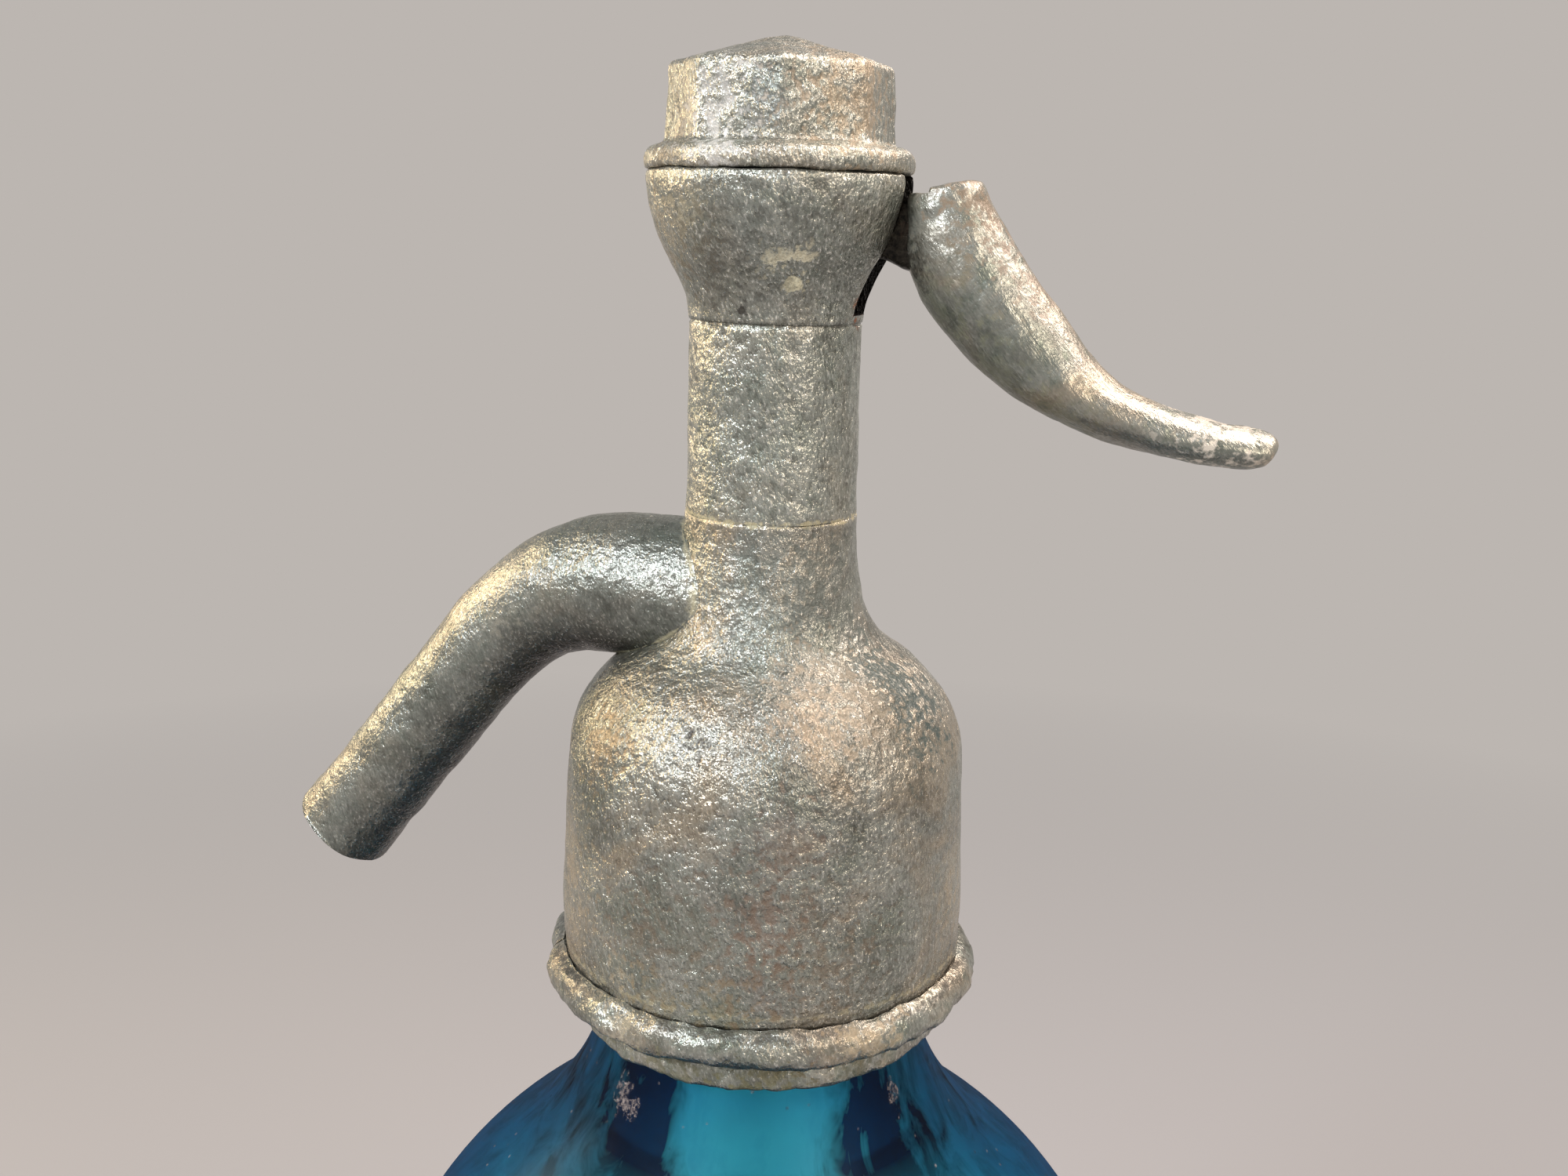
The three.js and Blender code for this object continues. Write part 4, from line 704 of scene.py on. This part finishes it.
# Pivot pin and valve train: a pin across the bulb, the rod that the lever lifts, its spacer, nut and holder, and the
# seat below. Brass, turned from bar: fine rings round each piece, drawn 0.25 mm apart so that they show, dulled to
# brown where water reaches it.
turned_brass, tree, place = new_material("turned_brass")
height = add_node(tree, "SeparateXYZ", {0: place}).outputs["Z"]
along = add_node(tree, "Math", {0: height, 1: 1 / (0.25 * mm)}, operation="MULTIPLY")
tool_marks = add_node(tree, "TexNoise", {"W": along, "Scale": 1, "Detail": 2}, noise_dimensions="1D")
tarnish = add_node(tree, "TexNoise", {"Vector": place, "Scale": 1 / (3 * mm), "Detail": 6, "Roughness": 0.65})
brown = add_node(tree, "ValToRGB", {"Fac": tarnish}, stops=((0.38, "5d4b2c"), (0.62, "b8935a")))
rough = add_node(tree, "MapRange", {"Value": tarnish, "From Min": 0.35, "From Max": 0.65, "To Min": 0.6,
                                    "To Max": 0.28})
rings = add_node(tree, "Bump", {"Height": tool_marks, "Strength": 0.5, "Distance": 0.05 * mm})
skin = add_node(tree, "BsdfPrincipled", {"Base Color": brown, "Metallic": 1, "Roughness": rough, "Normal": rings})
add_node(tree, "OutputMaterial", {"Surface": skin})
for node in ("pivot_pin", "valve_rod", "valve_holder", "piston_spacer", "piston_nut", "valve_seat"):
    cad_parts[node].material_slots[0].material = turned_brass


# Main spring: coiled over the rod's head inside the cap, it presses the valve shut.
# Drawn steel wire, grey, with brown rust starting in spots.
spring_wire, tree, place = new_material("drawn_spring_steel")
spots = add_node(tree, "TexNoise", {"Vector": place, "Scale": 1 / (1.2 * mm), "Detail": 5, "Roughness": 0.7})
rust = add_node(tree, "ValToRGB", {"Fac": spots}, stops=((0.5, "8d8c8b"), (0.66, "6a4630")))
rough = add_node(tree, "MapRange", {"Value": spots, "From Min": 0.45, "From Max": 0.66, "To Min": 0.3,
                                    "To Max": 0.75})
metal = add_node(tree, "MapRange", {"Value": spots, "From Min": 0.5, "From Max": 0.66, "To Min": 1, "To Max": 0.2})
skin = add_node(tree, "BsdfPrincipled", {"Base Color": rust, "Metallic": metal, "Roughness": rough})
add_node(tree, "OutputMaterial", {"Surface": skin})
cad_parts["main_spring"].material_slots[0].material = spring_wire


# Cup washers: two cups that seal the rod in its bore, one facing up and one down.
# Leather, pressed wet into shape and greased: dark brown, with a fine pebbled grain.
cup_leather, tree, place = new_material("greased_cup_leather")
pebble = add_node(tree, "TexVoronoi", {"Vector": place, "Scale": 1 / (0.5 * mm)})
patch = add_node(tree, "TexNoise", {"Vector": place, "Scale": 1 / (3 * mm), "Detail": 5})
hide = add_node(tree, "ValToRGB", {"Fac": patch}, stops=((0.35, "3c2818"), (0.65, "7a5434")))
rough = add_node(tree, "MapRange", {"Value": patch, "To Min": 0.45, "To Max": 0.7})
grained = add_node(tree, "Bump", {"Height": pebble, "Strength": 0.4, "Distance": 0.06 * mm})
skin = add_node(tree, "BsdfPrincipled", {"Base Color": hide, "Roughness": rough, "Normal": grained})
add_node(tree, "OutputMaterial", {"Surface": skin})
for node in ("upper_cup_washer", "lower_cup_washer"):
    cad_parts[node].material_slots[0].material = cup_leather


# Gaskets, tube sleeve and valve face: flat rings above and below the tube socket, a sleeve that grips the tube, and
# the disc that shuts on the seat. Moulded rubber gone hard: near black, matt, with a pale bloom.
aged_rubber, tree, place = new_material("aged_moulded_rubber")
bloomed = add_node(tree, "TexNoise", {"Vector": place, "Scale": 1 / (2.5 * mm), "Detail": 6, "Roughness": 0.7})
mould_grain = add_node(tree, "TexNoise", {"Vector": place, "Scale": 1 / (0.4 * mm), "Detail": 3})
black = add_node(tree, "ValToRGB", {"Fac": bloomed}, stops=((0.4, "26211e"), (0.7, "5a5049")))
rough = add_node(tree, "MapRange", {"Value": bloomed, "To Min": 0.6, "To Max": 0.95})
grained = add_node(tree, "Bump", {"Height": mould_grain, "Strength": 0.5, "Distance": 0.06 * mm})
skin = add_node(tree, "BsdfPrincipled", {"Base Color": black, "Roughness": rough, "Normal": grained})
add_node(tree, "OutputMaterial", {"Surface": skin})
for node in ("neck_gasket", "head_gasket", "tube_sleeve", "valve_rubber"):
    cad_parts[node].material_slots[0].material = aged_rubber


# Tube socket: the flanged bush that hangs in the bottle's mouth and carries the sleeve.
# Pewter like the castings, but turned all over and always wet, so it is duller and more even.
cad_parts["tube_socket"].material_slots[0].material = pewter(
    "turned_pewter_socket", warmth=0.4, scratches=0.15, green=0.5)


# Dip tube: the straight tube that carries the water up from the bottom of the bottle.
# Drawn clear glass, faintly green, with a broken film of lime that dulls it in patches.
tube_glass, tree, place = new_material("drawn_clear_glass")
lime = add_node(tree, "TexNoise", {"Vector": place, "Scale": 1 / (6 * mm), "Detail": 7, "Roughness": 0.65})
rough = add_node(tree, "MapRange", {"Value": lime, "From Min": 0.5, "From Max": 0.7, "To Min": 0.02,
                                    "To Max": 0.5})
film = add_node(tree, "ValToRGB", {"Fac": lime}, stops=((0.5, "f2f9f7"), (0.75, "d3dcd8")))
skin = add_node(tree, "BsdfPrincipled", {"Base Color": film, "Transmission Weight": 1, "IOR": 1.5,
                                         "Roughness": rough})
add_node(tree, "OutputMaterial", {"Surface": skin})
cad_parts["dip_tube"].material_slots[0].material = tube_glass


# Glass bottle: thick blown blue glass, turned from its outline with a real wall, so that it bends light.
# The colour is in the glass itself, so it deepens where the eye runs along the wall. The skin is scuffed to a dull
# gloss with a thin blue haze, dusty, and chipped in three places below the collar.
bottle_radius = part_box("glass_bottle")[1].x
lip_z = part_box("glass_bottle")[1].z
glass_wall = 6 * mm
heel_radius = 7 * mm
inner_heel_radius = 5 * mm
dome_radius = 45 * mm
dome_middle = (bottle_radius - dome_radius, 147.4 * mm)
dome_reach = 52
neck_radius = 17.5 * mm
flare_radius = 35.66 * mm
neck_z = bell_z - 0.7 * mm
inner_dome = round_corner(dome_middle, dome_radius - glass_wall, dome_reach, 0, 22)
bottle = turn_about_z("glass_bottle_blown", [
    (0, 0), (30 * mm, 0), *round_corner((bottle_radius - heel_radius, heel_radius), heel_radius, -90, 0, 8),
    *round_corner(dome_middle, dome_radius, 0, dome_reach, 26),
    *round_corner((neck_radius + flare_radius, neck_z), flare_radius, 180 + dome_reach, 180, 20)[1:],
    (neck_radius, bell_z + 7.5 * mm), (19.3 * mm, bell_z + 7.8 * mm),
    *from_level(lip_z, (19.3, -1.5), (17.8, 0), (9.5, 0)),
    *smooth_outline([*from_level(neck_z, (9.6, 0), (12.2, -5), (13.6, -11.5), (15.8, -17.3), (19.05, -23.1),
                                 (23.8, -28.9)), inner_dome[0]], 5),
    *inner_dome[1:],
    *round_corner((bottle_radius - glass_wall - inner_heel_radius, 14 * mm), inner_heel_radius, 0, -90, 6),
    (0, 9 * mm)], 128)

# Its glass: the tint, painted shade on the neck's flanks where its thick wall would bend the light away, then gloss,
# haze, dust, chips and the depth's blue.
matt_share = 0.8
haze_share = 0.1
flank_middle = 0.68
flank_drift = 0.16
flank_shade_blue = linear("0d1534")
shoulder_lean = math.radians(35)
depth_blue = (0.5, 0.956, 0.99, 1)
blue_per_metre = 410
chips = ((-11.1, -16.1, -12.7), (-9.6, -16.9, -14.4), (17.7, -8.5, -13.5))
blue_glass, tree, place = new_material("blown_blue_glass")
drawn = add_node(tree, "Mapping", {"Vector": place, "Scale": (4 * mm, 4 * mm, 30 * mm)}, vector_type="TEXTURE")
swirls = add_node(tree, "TexNoise", {"Vector": drawn, "Scale": 1, "Detail": 4, "Roughness": 0.6,
                                     "Distortion": 0.6})
ripple = add_node(tree, "TexNoise", {"Vector": place, "Scale": 1 / (14 * mm), "Detail": 2})
scuffs = add_node(tree, "TexNoise", {"Vector": place, "Scale": 1 / (2.2 * mm), "Detail": 8, "Roughness": 0.75})
facing = add_node(tree, "LayerWeight", {"Blend": 0.5}).outputs["Facing"]
edge_blue = add_node(tree, "ValToRGB", {"Fac": facing},
                     stops=((0.4, "fbffff"), (0.66, "aad2fb"), (0.95, "68a6ff")))
swirled = add_node(tree, "MapRange", {"Value": swirls, "From Min": 0.52, "From Max": 0.7, "To Max": 0.25})
tint = add_node(tree, "Mix", {0: swirled, 6: edge_blue, 7: linear("2c4f8a")}, data_type="RGBA")
part = add_node(tree, "SeparateXYZ", {0: place}).outputs
outward = add_node(tree, "CombineXYZ", {0: part["X"], 1: part["Y"]})
radius = add_node(tree, "VectorMath", {0: outward}, operation="LENGTH")
outer_skin = add_node(tree, "Math", {0: radius, 1: neck_radius - 0.3 * mm}, operation="GREATER_THAN")
outward = add_node(tree, "VectorMath", {0: outward}, operation="NORMALIZE")
round_neck = add_node(tree, "LayerWeight", {"Blend": 0.5, "Normal": outward}).outputs["Facing"]
towards = add_node(tree, "MapRange", {"Value": round_neck, "From Min": 1, "From Max": 1 - math.cos(shoulder_lean)})
turned = add_node(tree, "Math", {0: towards}, operation="ARCCOSINE")
turned = add_node(tree, "Math", {0: turned}, operation="SINE")
drift = add_node(tree, "MapRange", {"Value": swirls, "From Min": 0.3, "From Max": 0.7,
                                    "To Min": flank_middle - flank_drift, "To Max": flank_middle + flank_drift})
aside = add_node(tree, "Math", {0: turned, 1: drift}, operation="SUBTRACT")
aside = add_node(tree, "Math", {0: aside}, operation="ABSOLUTE")
flank = add_node(tree, "MapRange", {"Value": aside, "From Min": 0.36, "From Max": 0.16})
flank = add_node(tree, "Math", {0: outer_skin, 1: flank}, operation="MULTIPLY")
# painted shade: near-black blue laid on the neck's flanks, where a thick wall would bend the light away; it follows
# the view
neck_share = add_node(tree, "MapRange", {"Value": part["Z"], "From Min": bell_z - 38 * mm,
                                         "From Max": bell_z - 19 * mm})
flank_shade = add_node(tree, "Math", {0: neck_share, 1: flank}, operation="MULTIPLY")
tint = add_node(tree, "Mix", {0: flank_shade, 6: tint, 7: flank_shade_blue}, data_type="RGBA")
rough = add_node(tree, "MapRange", {"Value": scuffs, "From Min": 0.5, "From Max": 0.68, "To Min": 0.36,
                                    "To Max": 0.52})
wave = add_node(tree, "Bump", {"Height": ripple, "Strength": 0.5, "Distance": 1 * mm})
glossy = add_node(tree, "BsdfPrincipled", {"Base Color": tint, "Transmission Weight": 1, "IOR": 1.5,
                                           "Roughness": rough, "Normal": wave})
half_tint = add_node(tree, "Gamma", {"Color": tint, "Gamma": 0.5})
matt = add_node(tree, "BsdfRefraction", {"Color": half_tint, "IOR": 1.5, "Roughness": rough, "Normal": wave})
body = add_node(tree, "MixShader", {0: matt_share, 1: glossy, 2: matt})
haze_colour = add_node(tree, "Mix", {0: flank_shade, 6: linear("2480cc"), 7: flank_shade_blue}, data_type="RGBA")
haze = add_node(tree, "BsdfDiffuse", {"Color": haze_colour})
body = add_node(tree, "MixShader", {0: haze_share, 1: body, 2: haze})
dots = add_node(tree, "TexVoronoi", {"Vector": place, "Scale": 1 / (2.6 * mm)})
marks = add_node(tree, "MapRange", {"Value": dots, "From Min": 0.1, "From Max": 0.04, "To Max": 0.4})
for chip in chips:
    broken = ragged_spot(tree, place, chip, scuffs, swing=2, rim=1.1, core=0.5, strength=0.7)
    marks = add_node(tree, "Math", {0: marks, 1: broken}, operation="MAXIMUM")
marks = add_node(tree, "Math", {0: marks, 1: outer_skin}, operation="MULTIPLY")
crumbs = add_node(tree, "TexNoise", {"Vector": place, "Scale": 1 / (0.6 * mm), "Detail": 4, "Roughness": 0.7})
broken_colour = add_node(tree, "ValToRGB", {"Fac": crumbs}, stops=((0.42, "2b2d3c"), (0.64, "b4aaa6")))
dust = add_node(tree, "BsdfDiffuse", {"Color": broken_colour})
surface = add_node(tree, "MixShader", {0: marks, 1: body, 2: dust})
deep_blue = add_node(tree, "VolumeAbsorption", {"Color": depth_blue, "Density": blue_per_metre})
add_node(tree, "OutputMaterial", {"Surface": surface, "Volume": deep_blue})
bottle.data.materials.append(blue_glass)
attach(bottle, "siphon")
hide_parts("glass_bottle")
